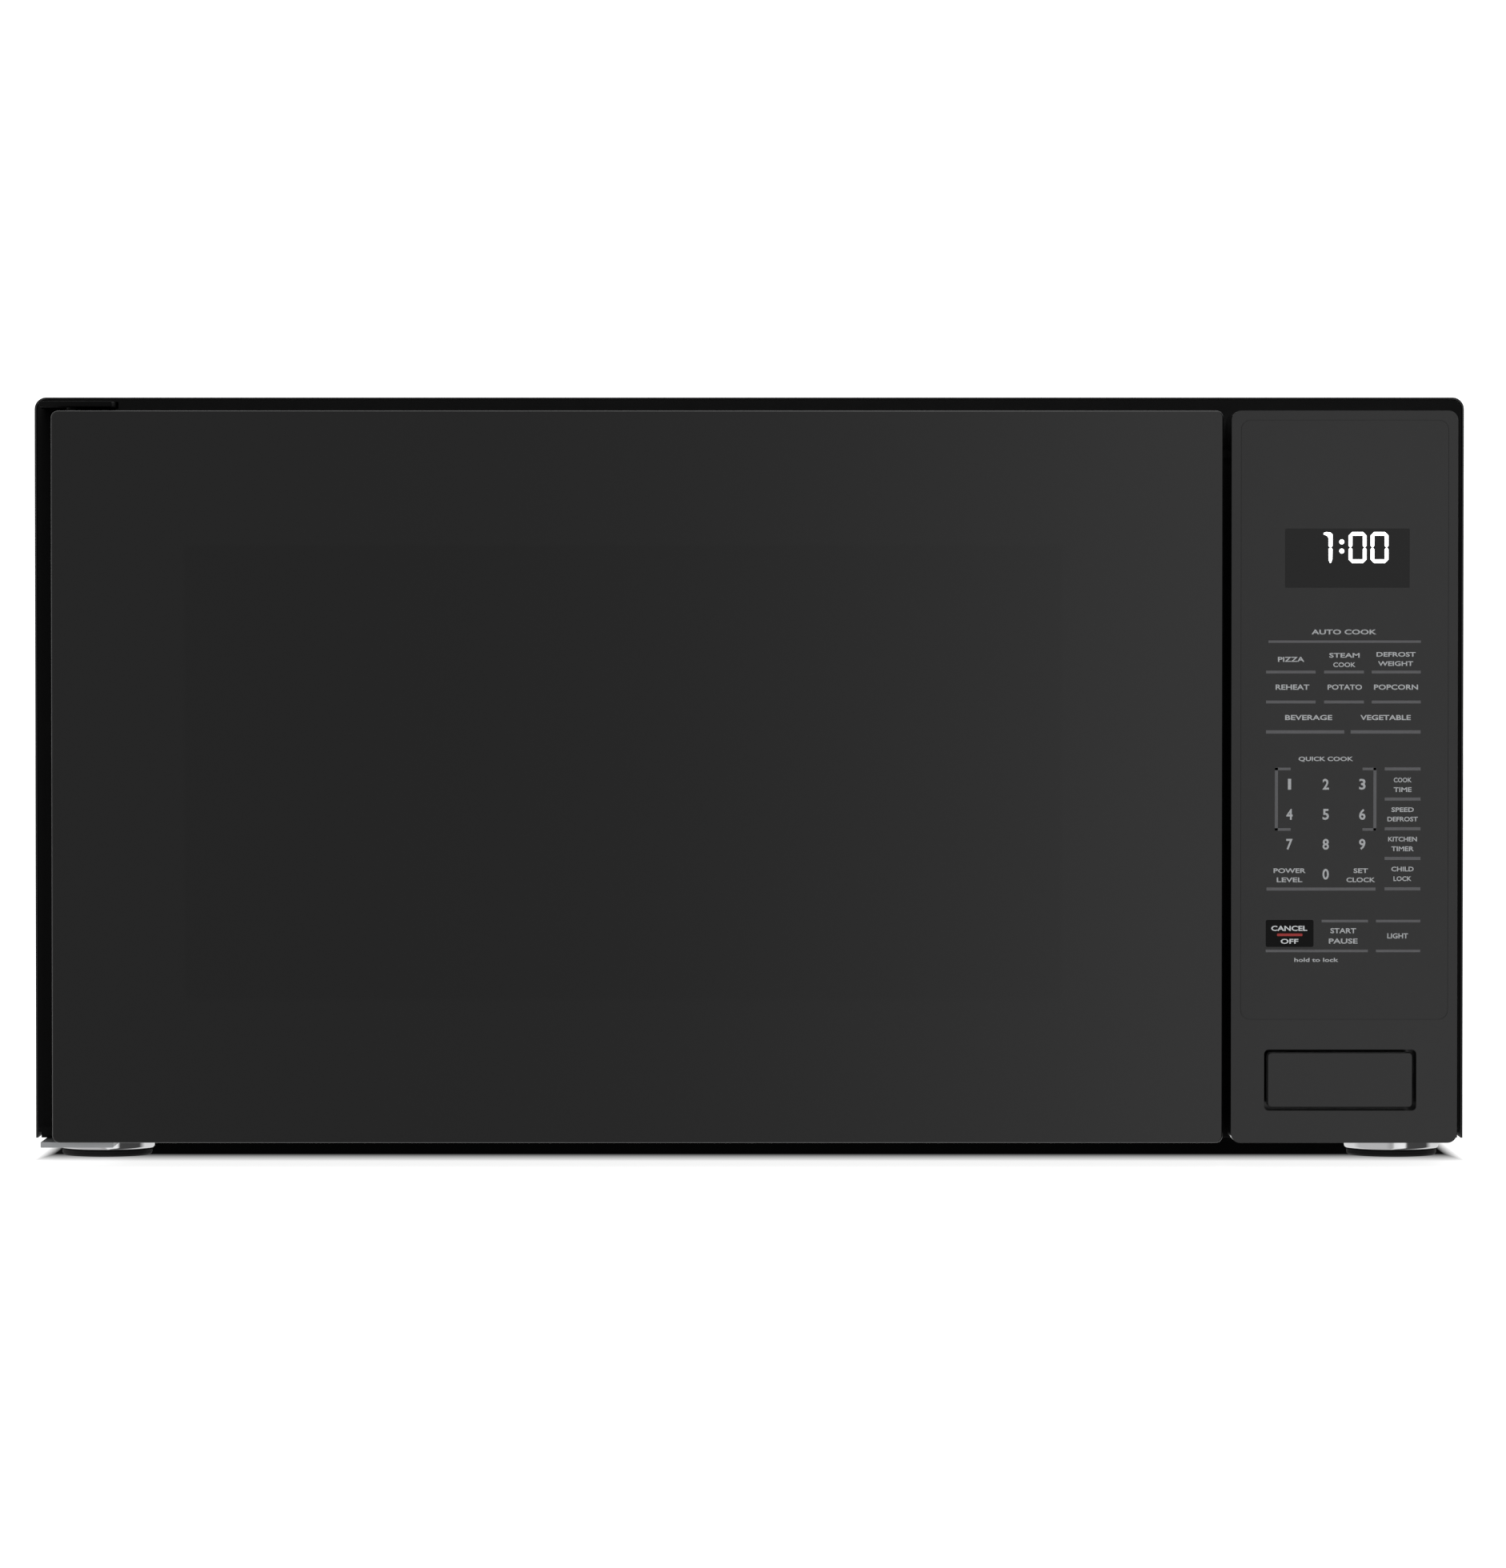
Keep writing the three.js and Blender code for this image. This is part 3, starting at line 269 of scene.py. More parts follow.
def parts_of(place):
    """The X, Y and Z wires of a vector's wire."""
    return [place.node("ShaderNodeSeparateXYZ", {}, {0: place}, out) for out in range(3)]


def noise(place, scale, detail=2.0, rough=0.5):
    return place.node(
        "ShaderNodeTexNoise", {}, {"Vector": place, "Scale": scale, "Detail": detail, "Roughness": rough})


def stretched(place, x, y, z):
    return place.node("ShaderNodeMapping", {}, {"Vector": place, "Scale": (x, y, z)})


def mixed(share, first, second):
    """A colour between two others."""
    return share.node("ShaderNodeMix", {"data_type": "RGBA"}, {0: share, 6: first, 7: second}, 2)


def bumped(height, strength, distance=0.0001):
    return height.node("ShaderNodeBump", {}, {"Strength": strength, "Distance": distance, "Height": height})


def begin(name, **constants):
    """Starts a finish; gives its material and the wire of its Object coordinates."""
    made = bpy.data.materials.new(name)
    made.use_nodes = True
    shader = made.node_tree.nodes["Principled BSDF"]
    for socket, value in constants.items():
        shader.inputs[socket.replace("_", " ")].default_value = value
    places = made.node_tree.nodes.new("ShaderNodeTexCoord")
    return made, Wire(made.node_tree, places.outputs["Object"])


def feed(material, **wires):
    """Links wires to the shader's sockets."""
    shader = material.node_tree.nodes["Principled BSDF"]
    for socket, wire in wires.items():
        material.node_tree.links.new(wire.socket, shader.inputs[socket.replace("_", " ")])
    return material


def plain(name, colour, rough, metal=0.0, mottle=(40, 0.06), gloss=(120, 0.06), grain=(1200, 0.12),
          pull=None, fine=None, **constants):
    """A finish with clouded colour, uneven gloss and a fine grain.

    mottle and gloss are a noise's scale and spread, grain is a bump's scale and strength, pull stretches the
    grain as brushing or rolling does, and fine adds a second, larger bump.
    """
    made, place = begin(name, Metallic=metal, **constants)
    cloud = noise(place, mottle[0], 3.0)
    dark = rgba([c * (1 - mottle[1]) for c in colour])
    light = rgba([min(1.0, c * (1 + mottle[1])) for c in colour])
    sheen = noise(place, gloss[0], 2.0) - 0.5
    grained = noise(stretched(place, *pull) if pull else place, grain[0], 2.0, 0.6)
    height = grained if fine is None else grained + noise(place, fine[0], 1.0) * fine[1]
    return feed(made, Base_Color=mixed(cloud, dark, light), Roughness=sheen * (2 * gloss[1]) + rough,
                Normal=bumped(height, grain[1]))


def door_glass_finish(colours, window):
    """Black glass: a polished face over a black layer, darker over the window as painted shade for the dark
    inside seen through it.
    """
    made, place = begin("black door glass", IOR=1.5)
    x, _, z = parts_of(place)
    (left, right), (bottom, top) = window
    soft = 900.0
    across = ((right - left) / 2 - abs(x - (right + left) / 2)) * soft
    up = ((top - bottom) / 2 - abs(z - (top + bottom) / 2)) * soft
    # painted shade: mask of the window area, where the glass takes the darker colour
    inside = across.math("MINIMUM", up, clamp=True)
    smear = noise(place, 7.0, 3.0) - 0.5
    colour = mixed(inside, rgba(colours.glass), rgba(colours.window))
    return feed(made, Base_Color=colour, Roughness=smear * 0.03 + 0.085,
                Normal=bumped(noise(place, 9.0, 1.0), 0.015, 0.0004))


def finishes(colours):
    """Every finish of the oven, by its name."""
    black = list(colours.tower)
    made = {
        "tower": plain("moulded gloss black", black, 0.13, mottle=(30, 0.05), gloss=(40, 0.02),
                       grain=(700, 0.01), IOR=1.5),
        "sheet": plain("keypad sheet black", black, 0.15, mottle=(30, 0.04), gloss=(60, 0.03),
                       grain=(1500, 0.012), IOR=1.5),
        "lens": plain("smoked lens", [0.0022] * 3, 0.10, mottle=(60, 0.05), gloss=(50, 0.02),
                      grain=(400, 0.006), Specular_IOR_Level=0.30),
        "paint": plain("powder-painted steel", list(colours.paint), 0.42, mottle=(25, 0.08), gloss=(90, 0.06),
                       grain=(1500, 0.30), fine=(420, 0.6)),
        # painted shade: the cabinet's paint darkened to 0.22 of its colour for the recessed front frame, base
        # plate, upper hinge and door screen; they are black painted, and part of their darkness is painted-in
        # shade
        "shaded frame paint": plain("matt black front frame with painted shade", [c * 0.22 for c in colours.paint], 0.6,
                             mottle=(35, 0.1), gloss=(90, 0.06), grain=(1500, 0.25), Specular_IOR_Level=0.12),
        "moulding": plain("dark moulded plastic", [0.012, 0.012, 0.0125], 0.5, mottle=(60, 0.08),
                          gloss=(150, 0.06), grain=(2100, 0.35)),
        "inner cover": plain("black inner cover", [0.010] * 3, 0.38, mottle=(60, 0.06), gloss=(120, 0.05),
                             grain=(1700, 0.25)),
        "enamel": plain("grey cavity enamel", list(colours.enamel), 0.38, mottle=(300, 0.05),
                        gloss=(200, 0.07), grain=(650, 0.22), fine=(60, 0.5)),
        "steel": plain("zinc-plated steel", [0.50, 0.51, 0.52], 0.36, 1.0, mottle=(55, 0.10),
                       gloss=(110, 0.12), grain=(800, 0.10), pull=(1.0, 0.06, 1.0)),
        "chrome": plain("bright chrome", [0.80, 0.80, 0.81], 0.10, 1.0, mottle=(60, 0.03), gloss=(90, 0.04),
                        grain=(500, 0.02)),
        "rubber": plain("black rubber", [0.010] * 3, 0.8, mottle=(120, 0.15), gloss=(200, 0.08),
                        grain=(1800, 0.5), Specular_IOR_Level=0.3),
        "nylon": plain("natural nylon", [0.72, 0.70, 0.64], 0.42, mottle=(90, 0.04), gloss=(120, 0.06),
                       grain=(1500, 0.12), Subsurface_Weight=0.08, Subsurface_Scale=0.002),
        "aluminium": plain("bare aluminium", [0.62, 0.63, 0.64], 0.32, 1.0, mottle=(40, 0.06),
                           gloss=(160, 0.10), grain=(900, 0.18), pull=(0.05, 1.0, 1.0)),
        "laminate": plain("green circuit board", [0.020, 0.105, 0.045], 0.42, mottle=(260, 0.14),
                          gloss=(300, 0.08), grain=(900, 0.25)),
        "mica": plain("mica sheet", [0.44, 0.37, 0.28], 0.55, mottle=(90, 0.22), gloss=(60, 0.12),
                      grain=(260, 0.35), pull=(1.0, 0.25, 1.0)),
        "spring": plain("spring steel", [0.42, 0.43, 0.44], 0.28, 1.0, mottle=(400, 0.08), gloss=(500, 0.08),
                        grain=(2500, 0.1)),
        "grey ink": plain("grey ink", list(colours.ink), 0.5, mottle=(900, 0.10), gloss=(600, 0.05),
                          grain=(3000, 0.1)),
        "rule ink": plain("rule ink", list(colours.rule), 0.5, mottle=(900, 0.10), gloss=(600, 0.05),
                          grain=(3000, 0.1)),
        "white ink": plain("white ink", [0.55, 0.57, 0.58], 0.5, mottle=(900, 0.08), gloss=(600, 0.05),
                           grain=(3000, 0.1)),
        "red ink": plain("red ink", [0.30, 0.012, 0.010], 0.5, mottle=(900, 0.12), gloss=(600, 0.05),
                         grain=(3000, 0.1)),
        "cancel key": plain("dark key ground", [0.0006] * 3, 0.3, mottle=(300, 0.1), gloss=(300, 0.05),
                            grain=(1500, 0.05), Specular_IOR_Level=0.14),
    }
    clear, place = begin("clear glass", Transmission_Weight=1.0, IOR=1.5)
    made["glass"] = feed(clear, Base_Color=mixed(noise(place, 25.0), (0.93, 0.97, 0.95, 1),
                                                 (0.97, 1, 0.985, 1)),
                         Roughness=noise(place, 60.0, 3.0) * 0.03 + 0.01,
                         Normal=bumped(noise(place, 30.0, 1.0), 0.02, 0.0004))
    lit, place = begin("lit digits", Emission_Strength=1.6)
    glow = mixed(noise(place, 700.0), (0.92, 0.94, 0.96, 1), rgba(colours.digits))
    made["digits"] = feed(lit, Base_Color=glow, Emission_Color=glow,
                          Roughness=noise(place, 300.0) * 0.1 + 0.3)
    wound, place = begin("enamelled copper wire", Metallic=0.7)
    _, _, z = parts_of(place)
    turns = (z * (2 * math.pi / (0.9 * MM))).math("SINE")
    made["copper"] = feed(
        wound, Base_Color=mixed(noise(place, 160.0), (0.36, 0.13, 0.045, 1), (0.50, 0.21, 0.08, 1)),
        Roughness=noise(place, 220.0) * 0.2 + 0.22, Normal=bumped(turns, 0.6, 0.0003))
    stacked, place = begin("stacked core sheets", Metallic=0.9)
    _, y, _ = parts_of(place)
    sheets = (y * (2 * math.pi / (0.7 * MM))).math("SINE")
    made["core"] = feed(
        stacked, Base_Color=mixed(noise(place, 130.0), (0.20, 0.205, 0.21, 1), (0.33, 0.33, 0.335, 1)),
        Roughness=noise(place, 180.0) * 0.25 + 0.32, Normal=bumped(sheets, 0.5, 0.0002))
    return made


# ---------- shapes ----------


def edges_over(shape, degrees):
    """The edges at which a shape turns by more than an angle."""
    least = math.radians(degrees)
    return [e for e in shape.edges if len(e.link_faces) == 2 and e.calc_face_angle(0.0) > least]


def bevel(shape, edges, width, steps):
    bmesh.ops.bevel(shape, geom=list(edges), offset=width, offset_type="OFFSET", affect="EDGES",
                    segments=steps, profile=0.5, material=-1, clamp_overlap=True)
    return shape


def softened(shape, width, steps=2, degrees=40):
    return bevel(shape, edges_over(shape, degrees), width, steps)


def block(low, high, corner=0.0, axis="Y", edge=0.0):
    """A block between two corners: its four edges along an axis are rounded by corner, the rest by edge."""
    low, high = Vector(low), Vector(high)
    shape = bmesh.new()
    bmesh.ops.create_cube(shape, size=1.0, matrix=Matrix.LocRotScale((low + high) / 2, None, high - low))
    if corner:
        along = [e for e in shape.edges
                 if abs((e.verts[0].co - e.verts[1].co).normalized().dot(ALONG[axis])) > 0.9]
        bevel(shape, along, corner, 8)
    if edge:
        softened(shape, edge, 3, 60)
    return shape


def drum(axis, centre, radius, start, end, steps=40, edge=0.0):
    """A round bar along an axis through a centre."""
    middle = Vector(centre)
    middle["XYZ".index(axis)] = (start + end) / 2
    shape = bmesh.new()
    bmesh.ops.create_cone(shape, cap_ends=True, segments=steps, radius1=radius, radius2=radius,
                          depth=end - start, matrix=Matrix.Translation(middle) @ FROM_Z[axis])
    return softened(shape, edge, 2, 50) if edge else shape


def turned(profile, steps=64, closed=False, edge=0.0, edge_steps=2):
    """A profile of (radius, height) points turned about the Z axis."""
    shape = bmesh.new()
    points = [shape.verts.new((r, 0, h)) for r, h in profile]
    pairs = list(zip(points, points[1:])) + ([(points[-1], points[0])] if closed else [])
    lines = [shape.edges.new(pair) for pair in pairs]
    bmesh.ops.spin(shape, geom=points + lines, cent=(0, 0, 0), axis=(0, 0, 1), dvec=(0, 0, 0),
                   angle=2 * math.pi, steps=steps, use_merge=True, use_duplicate=False)
    bmesh.ops.remove_doubles(shape, verts=shape.verts, dist=1e-4)
    bmesh.ops.recalc_face_normals(shape, faces=shape.faces)
    return softened(shape, edge, edge_steps, 25) if edge else shape


def moved(shape, *steps):
    """Applies matrices to a shape, the first one first."""
    for step in steps:
        bmesh.ops.transform(shape, matrix=step, verts=shape.verts)
    return shape


def shifted(shape, x=0.0, y=0.0, z=0.0):
    return moved(shape, Matrix.Translation((x, y, z)))


def joined(*shapes):
    """Several shapes as one."""
    whole = shapes[0]
    for shape in shapes[1:]:
        spare = bpy.data.meshes.new("spare")
        shape.to_mesh(spare)
        shape.free()
        whole.from_mesh(spare)
        bpy.data.meshes.remove(spare)
    return whole


def closed_loop(shape, points):
    """New vertices at the points and the closed loop of edges through them."""
    made = [shape.verts.new(point) for point in points]
    return made, [shape.edges.new(pair) for pair in zip(made, made[1:] + made[:1])]


def thickened(shape, faces, depth):
    """Gives flat faces depth along Y."""
    made = bmesh.ops.extrude_face_region(shape, geom=faces, use_keep_orig=True)["geom"]
    points = [v for v in made if isinstance(v, bmesh.types.BMVert)]
    bmesh.ops.translate(shape, vec=(0, depth, 0), verts=points)
    bmesh.ops.recalc_face_normals(shape, faces=shape.faces)
    return shape


def flat_loop(shape, low, high, corner, y, steps=6):
    """A closed rounded rectangle of edges in the plane square to Y."""
    (left, foot), (right, top) = low, high
    corners = ((left, y, foot), (right, y, foot), (right, y, top), (left, y, top))
    points, lines = closed_loop(shape, corners)
    before = set(shape.edges) - set(lines)
    bmesh.ops.bevel(shape, geom=points, offset=corner, offset_type="OFFSET", affect="VERTICES",
                    segments=steps, profile=0.5, material=-1, clamp_overlap=True)
    return [e for e in shape.edges if e not in before]


def ring_plate(outer, inner, corner, inner_corner, front, back, edge=0.0):
    """A flat plate with a window; outer and inner are (low, high) pairs of X and Z."""
    shape = bmesh.new()
    rim = flat_loop(shape, *outer, corner, front)
    hole = flat_loop(shape, *inner, inner_corner, front)
    thickened(shape, bmesh.ops.bridge_loops(shape, edges=rim + hole)["faces"], back - front)
    return softened(shape, edge, 2, 60) if edge else shape


def slab(points, front, back):
    """A flat outline of (X, Z) points given thickness from front to back."""
    shape = bmesh.new()
    face = shape.faces.new([shape.verts.new((x, front, z)) for x, z in points])
    return thickened(shape, [face], back - front)


def helix(radius, wire, length, turns, steps=20, sides=10):
    """A coil spring along Z from 0 to length."""
    shape = bmesh.new()
    across = Matrix.Translation((radius, 0, wire)) @ Matrix.Rotation(math.pi / 2, 4, "X")
    bmesh.ops.create_circle(shape, cap_ends=True, segments=sides, radius=wire, matrix=across)
    count = int(turns * steps)
    bmesh.ops.spin(shape, geom=shape.verts[:] + shape.edges[:] + shape.faces[:], cent=(0, 0, 0),
                   axis=(0, 0, 1), dvec=(0, 0, (length - 2 * wire) / count), angle=2 * math.pi * turns,
                   steps=count, use_merge=False, use_duplicate=False)
    bmesh.ops.recalc_face_normals(shape, faces=shape.faces)
    return shape


def traced(node, edge=0.3, steps=2, degrees=32):
    """A copy of one of the frame's nodes, its flat faces made whole and its sharp edges eased."""
    shape = bmesh.new()
    shape.from_mesh(frame["nodes"][node].data)
    bmesh.ops.scale(shape, vec=(1 / MM,) * 3, verts=shape.verts)
    bmesh.ops.remove_doubles(shape, verts=shape.verts, dist=2e-3)
    bmesh.ops.dissolve_limit(shape, angle_limit=math.radians(0.5), use_dissolve_boundaries=False,
                             verts=shape.verts, edges=shape.edges)
    return softened(shape, edge, steps, degrees) if edge else shape


def lettering(text, centre, width, height, front, thickness, weight=0.022):
    """Plain letters facing -Y, fitted to a width and a height round a centre (X, Z)."""
    curve = bpy.data.curves.new("letters", "FONT")
    curve.body, curve.resolution_u, curve.extrude, curve.offset = text, 3, thickness / 2, weight
    holder = bpy.data.objects.new("letters", curve)
    bpy.context.scene.collection.objects.link(holder)
    bpy.context.view_layer.update()
    mesh = bpy.data.meshes.new_from_object(holder.evaluated_get(bpy.context.evaluated_depsgraph_get()))
    shape = bmesh.new()
    shape.from_mesh(mesh)
    bpy.data.objects.remove(holder)
    bpy.data.curves.remove(curve)
    bpy.data.meshes.remove(mesh)
    bmesh.ops.remove_doubles(shape, verts=shape.verts, dist=1e-5)
    xs, ys = [v.co.x for v in shape.verts], [v.co.y for v in shape.verts]
    middle = Vector(((min(xs) + max(xs)) / 2, (min(ys) + max(ys)) / 2, 0))
    fit = Matrix.Diagonal((width / (max(xs) - min(xs)), height / (max(ys) - min(ys)), 1, 1))
    return moved(shape, Matrix.Translation(-middle), fit, Matrix.Rotation(math.pi / 2, 4, "X"),
                 Matrix.Translation((centre[0], front, centre[1])))


def cross_screw(radius, height, recess):
    """A domed screw head with a cross recess, standing on Z = 0 and facing +Z."""
    half, wide = radius * 0.52, radius * 0.13
    arm = (Vector((half, -wide)), Vector((half, wide)), Vector((wide, wide)))
    cross = [Matrix.Rotation(quarter * math.pi / 2, 2) @ point for quarter in range(4) for point in arm]
    ring = [point.normalized() * radius for point in cross]
    # from the head's foot over its dome and down into the recess: outline, size and height of each loop
    rows = ((ring, 1.0, 0.0), (ring, 1.0, height * 0.45), (ring, 0.86, height * 0.85),
            (cross, 1.18, height), (cross, 1.0, height), (cross, 0.55, height - recess))
    shape = bmesh.new()
    loops = [closed_loop(shape, [(*(point * size), z) for point in outline])[1] for outline, size, z in rows]
    for low, high in zip(loops, loops[1:]):
        bmesh.ops.bridge_loops(shape, edges=low + high)
    for loop in (loops[0], loops[-1]):
        bmesh.ops.contextual_create(shape, geom=loop)
    bmesh.ops.recalc_face_normals(shape, faces=shape.faces)
    return shape


def lies_flat(face):
    """Whether a face is part of a flat area: it has more than four sides, or a neighbour in its own plane."""
    return len(face.verts) > 4 or any(
        len(e.link_faces) == 2 and e.calc_face_angle(1.0) < math.radians(FLAT_DEGREES) for e in face.edges)


def place(name, shape, body, material, replaces=(), slot=None, sharp=35, even=True):
    """Makes a shape a piece that rides on a body, stands for nodes and takes a finish; slot is not used.

    Edges that turn by more than sharp degrees stay sharp, and even lets the larger faces lead the shading.
    """
    bmesh.ops.scale(shape, vec=(MM, MM, MM), verts=shape.verts)
    for face in shape.faces:
        face.smooth = not lies_flat(face)
    mesh = bpy.data.meshes.new(name)
    shape.to_mesh(mesh)
    shape.free()
    mesh.set_sharp_from_angle(angle=math.radians(sharp))
    mesh.materials.append(material)
    made = bpy.data.objects.new(name, mesh)
    bpy.context.scene.collection.objects.link(made)
    if even:
        made.modifiers.new("large faces lead", "WEIGHTED_NORMAL").keep_sharp = True
    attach(made, body)
    if replaces:
        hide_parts(*replaces)
    return made


def body_of(node):
    return frame["nodes"][node]["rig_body"]


def trace_all(rows, suits):
    """Places a traced copy of each node; a row holds the node, its finish, its slot and its edge's width."""
    for node, suit, slot, edge in rows:
        place(f"{node}_surface", traced(node, edge), body_of(node), suits[suit], (node,), slot)


SUITS = {}


def oven_finishes(context):
    """The finishes by name, made at the first call."""
    if not SUITS:
        SUITS.update(finishes(context.scene.oven_colours))
    return SUITS


# ---------- the pieces, one operator each ----------


OVEN_MIDDLE = (0, 0, 0.15)
# Lamps: name, place, size, share of the softbox power.
SOFTBOXES = (("softbox over", (0.5, -0.9, 2.3), 1.8, 1.0), ("softbox behind", (-1.2, 2.2, 1.6), 1.5, 0.8))
# The surround before the oven: sideways slope of a direction and its brightness, from left to right.
FRONT_LIGHT = ((-0.30, 0.55), (-0.12, 0.42), (-0.05, 0.42), (-0.025, 0.455), (-0.004, 0.51), (0.017, 0.61),
               (0.039, 0.72), (0.051, 0.83), (0.060, 0.90), (0.10, 0.92), (0.30, 1.0), (0.55, 1.0),
               (0.70, 0.06))


class OvenStudio(bpy.types.Operator):
    """Pale floor, white surround, soft light and the camera."""

    bl_idname = "oven.studio"
    bl_label = "Studio"

    def execute(self, context):
        scene = context.scene
        sizes = scene.oven_studio
        shape = bmesh.new()
        bmesh.ops.create_grid(shape, x_segments=12, y_segments=12, size=9.0)
        mesh = bpy.data.meshes.new("floor")
        shape.to_mesh(mesh)
        shape.free()
        floor = bpy.data.objects.new("floor", mesh)
        floor.location.z = -0.0002
        scene.collection.objects.link(floor)
        mesh.materials.append(self.floor_finish())
        floor.visible_glossy = False
        self.surround(scene, sizes)
        for name, at, size, share in SOFTBOXES:
            self.softbox(scene, name, Vector(at), size, sizes.softbox * share)
        lens = bpy.data.cameras.new("camera")
        lens.sensor_width = 36.0
        lens.lens = lens.sensor_width * sizes.distance / sizes.picture
        lens.clip_start, lens.clip_end = 0.05, 60.0
        camera = bpy.data.objects.new("camera", lens)
        scene.collection.objects.link(camera)
        aim = Vector(sizes.aim)
        camera.location = (aim.x, aim.y - sizes.distance, sizes.height)
        camera.rotation_euler = (aim - camera.location).to_track_quat("-Z", "Y").to_euler()
        scene.camera = camera
        scene.view_settings.view_transform = "Standard"
        scene.view_settings.look = "None"
        return {"FINISHED"}

    def floor_finish(self):
        """White paper, with a painted shadow: dark in the narrow gap under the oven from its front feet
        backwards.
        """
        pale, spot = begin("pale floor", Emission_Strength=0.9, Specular_IOR_Level=0.0)
        x, y, _ = parts_of(spot)
        low, high = frame_bounds
        feet = room("front_left_foot_pad")[0].y * MM
        side = ((high[0] - low[0]) / 2 + SHADE_WIDER - abs(x - (high[0] + low[0]) / 2)) / SHADE_SIDE
        front = (y - feet + SHADE_FRONT) / (2 * SHADE_FRONT)
        back = (high[1] - y) / SHADE_SIDE
        # painted shadow: this mask darkens the floor's colour and its glow in the gap under the oven
        under = side.math("MINIMUM", front).math("MINIMUM", back, clamp=True)
        white = mixed(noise(spot, 3.0), (0.55, 0.55, 0.55, 1), (0.57, 0.57, 0.57, 1))
        glow = mixed(noise(spot, 2.0), (0.99, 0.99, 0.99, 1), (1, 1, 1, 1))
        return feed(pale, Base_Color=mixed(under, white, (0.02, 0.02, 0.02, 1)),
                    Emission_Color=mixed(under, glow, (0.0012, 0.0012, 0.0012, 1)),
                    Roughness=noise(spot, 5.0) * 0.05 + 0.9)

    def surround(self, scene, sizes):
        """White to look at; to light the oven it is darker on the left of the front than on the right."""
        world = bpy.data.worlds.new("surround")
        world.use_nodes = True
        tree = world.node_tree
        way = Wire(tree, tree.nodes.new("ShaderNodeTexCoord").outputs["Generated"])
        x, y, _ = parts_of(way)
        slope = x / (-y).math("MAXIMUM", 0.05)
        first, last = FRONT_LIGHT[0][0], FRONT_LIGHT[-1][0]
        span = (slope - first) / (last - first)
        ramp = span.node("ShaderNodeValToRGB", {
            "stops": [((s - first) / (last - first), (v, v, v, 1)) for s, v in FRONT_LIGHT]}, {0: span})
        behind = y.math("MULTIPLY", 3.0, clamp=True)
        light = mixed(behind, ramp, (0.8, 0.8, 0.8, 1))
        seen = way.node("ShaderNodeLightPath")
        shade = tree.nodes["Background"]
        tree.links.new(mixed(seen, light, (1.4, 1.4, 1.4, 1)).socket, shade.inputs["Color"])
        shade.inputs["Strength"].default_value = sizes.surround
        scene.world = world

    def softbox(self, scene, name, at, size, power):
        lamp = bpy.data.lights.new(name, "AREA")
        lamp.shape, lamp.size, lamp.energy = "SQUARE", size, power
        made = bpy.data.objects.new(name, lamp)
        made.location = at
        made.rotation_euler = (Vector(OVEN_MIDDLE) - at).to_track_quat("-Z", "Y").to_euler()
        scene.collection.objects.link(made)


class OvenCabinet(bpy.types.Operator):
    """Outer cover, rear panel, base plate, front frame, screws and the mains lead's gland."""

    bl_idname = "oven.cabinet"
    bl_label = "Cabinet"

    def execute(self, context):
        suits = oven_finishes(context)
        trace_all((
            ("outer_cover", "paint", "black_paint", 0.22),
            ("rear_panel", "paint", "black_paint", 0.0),
            # the front frame and base plate take the paint darkened as painted shade
            ("front_frame", "shaded frame paint", "black_paint", 0.15),
            ("base_plate", "shaded frame paint", "black_paint", 0.2),
        ), suits)
        low, high = room("cord_gland")
        x, z, back = (low.x + high.x) / 2, (low.z + high.z) / 2, high.y
        profile = [(4.5, 0.0), (11, 0.0), (11, 2.5), (8.7, 2.5), (8.7, 9.0), (4.5, 9.0)]
        gland = turned(profile, 48, closed=True, edge=0.5)
        ribs = [turned([(8.6, h), (9.0, h + 0.4), (9.0, h + 0.9), (8.6, h + 1.3)], 48, closed=True)
                for h in (3.6, 5.8)]
        face = Matrix.Rotation(math.pi / 2, 4, "X")
        place("cord_gland_ribbed", moved(joined(gland, *ribs), face, Matrix.Translation((x, back, z))),
              "cabinet", suits["rubber"], ("cord_gland",), "rubber")
        for i in (1, 2, 3):
            low, high = room(f"cover_screw_{i}")
            x, z = (low.x + high.x) / 2, (low.z + high.z) / 2
            head = moved(cross_screw(4.0, 1.7, 1.1), Matrix.Rotation(-math.pi / 2, 4, "X"),
                         Matrix.Translation((x, high.y - 1.7, z)))
            shank = drum("Y", (x, 0, z), 1.8, low.y, high.y - 1.5, 16, 0.3)
            place(f"cover_screw_{i}_cross", joined(head, shank), "cabinet", suits["steel"],
                  (f"cover_screw_{i}",), "zinc_steel", 30)
        return {"FINISHED"}


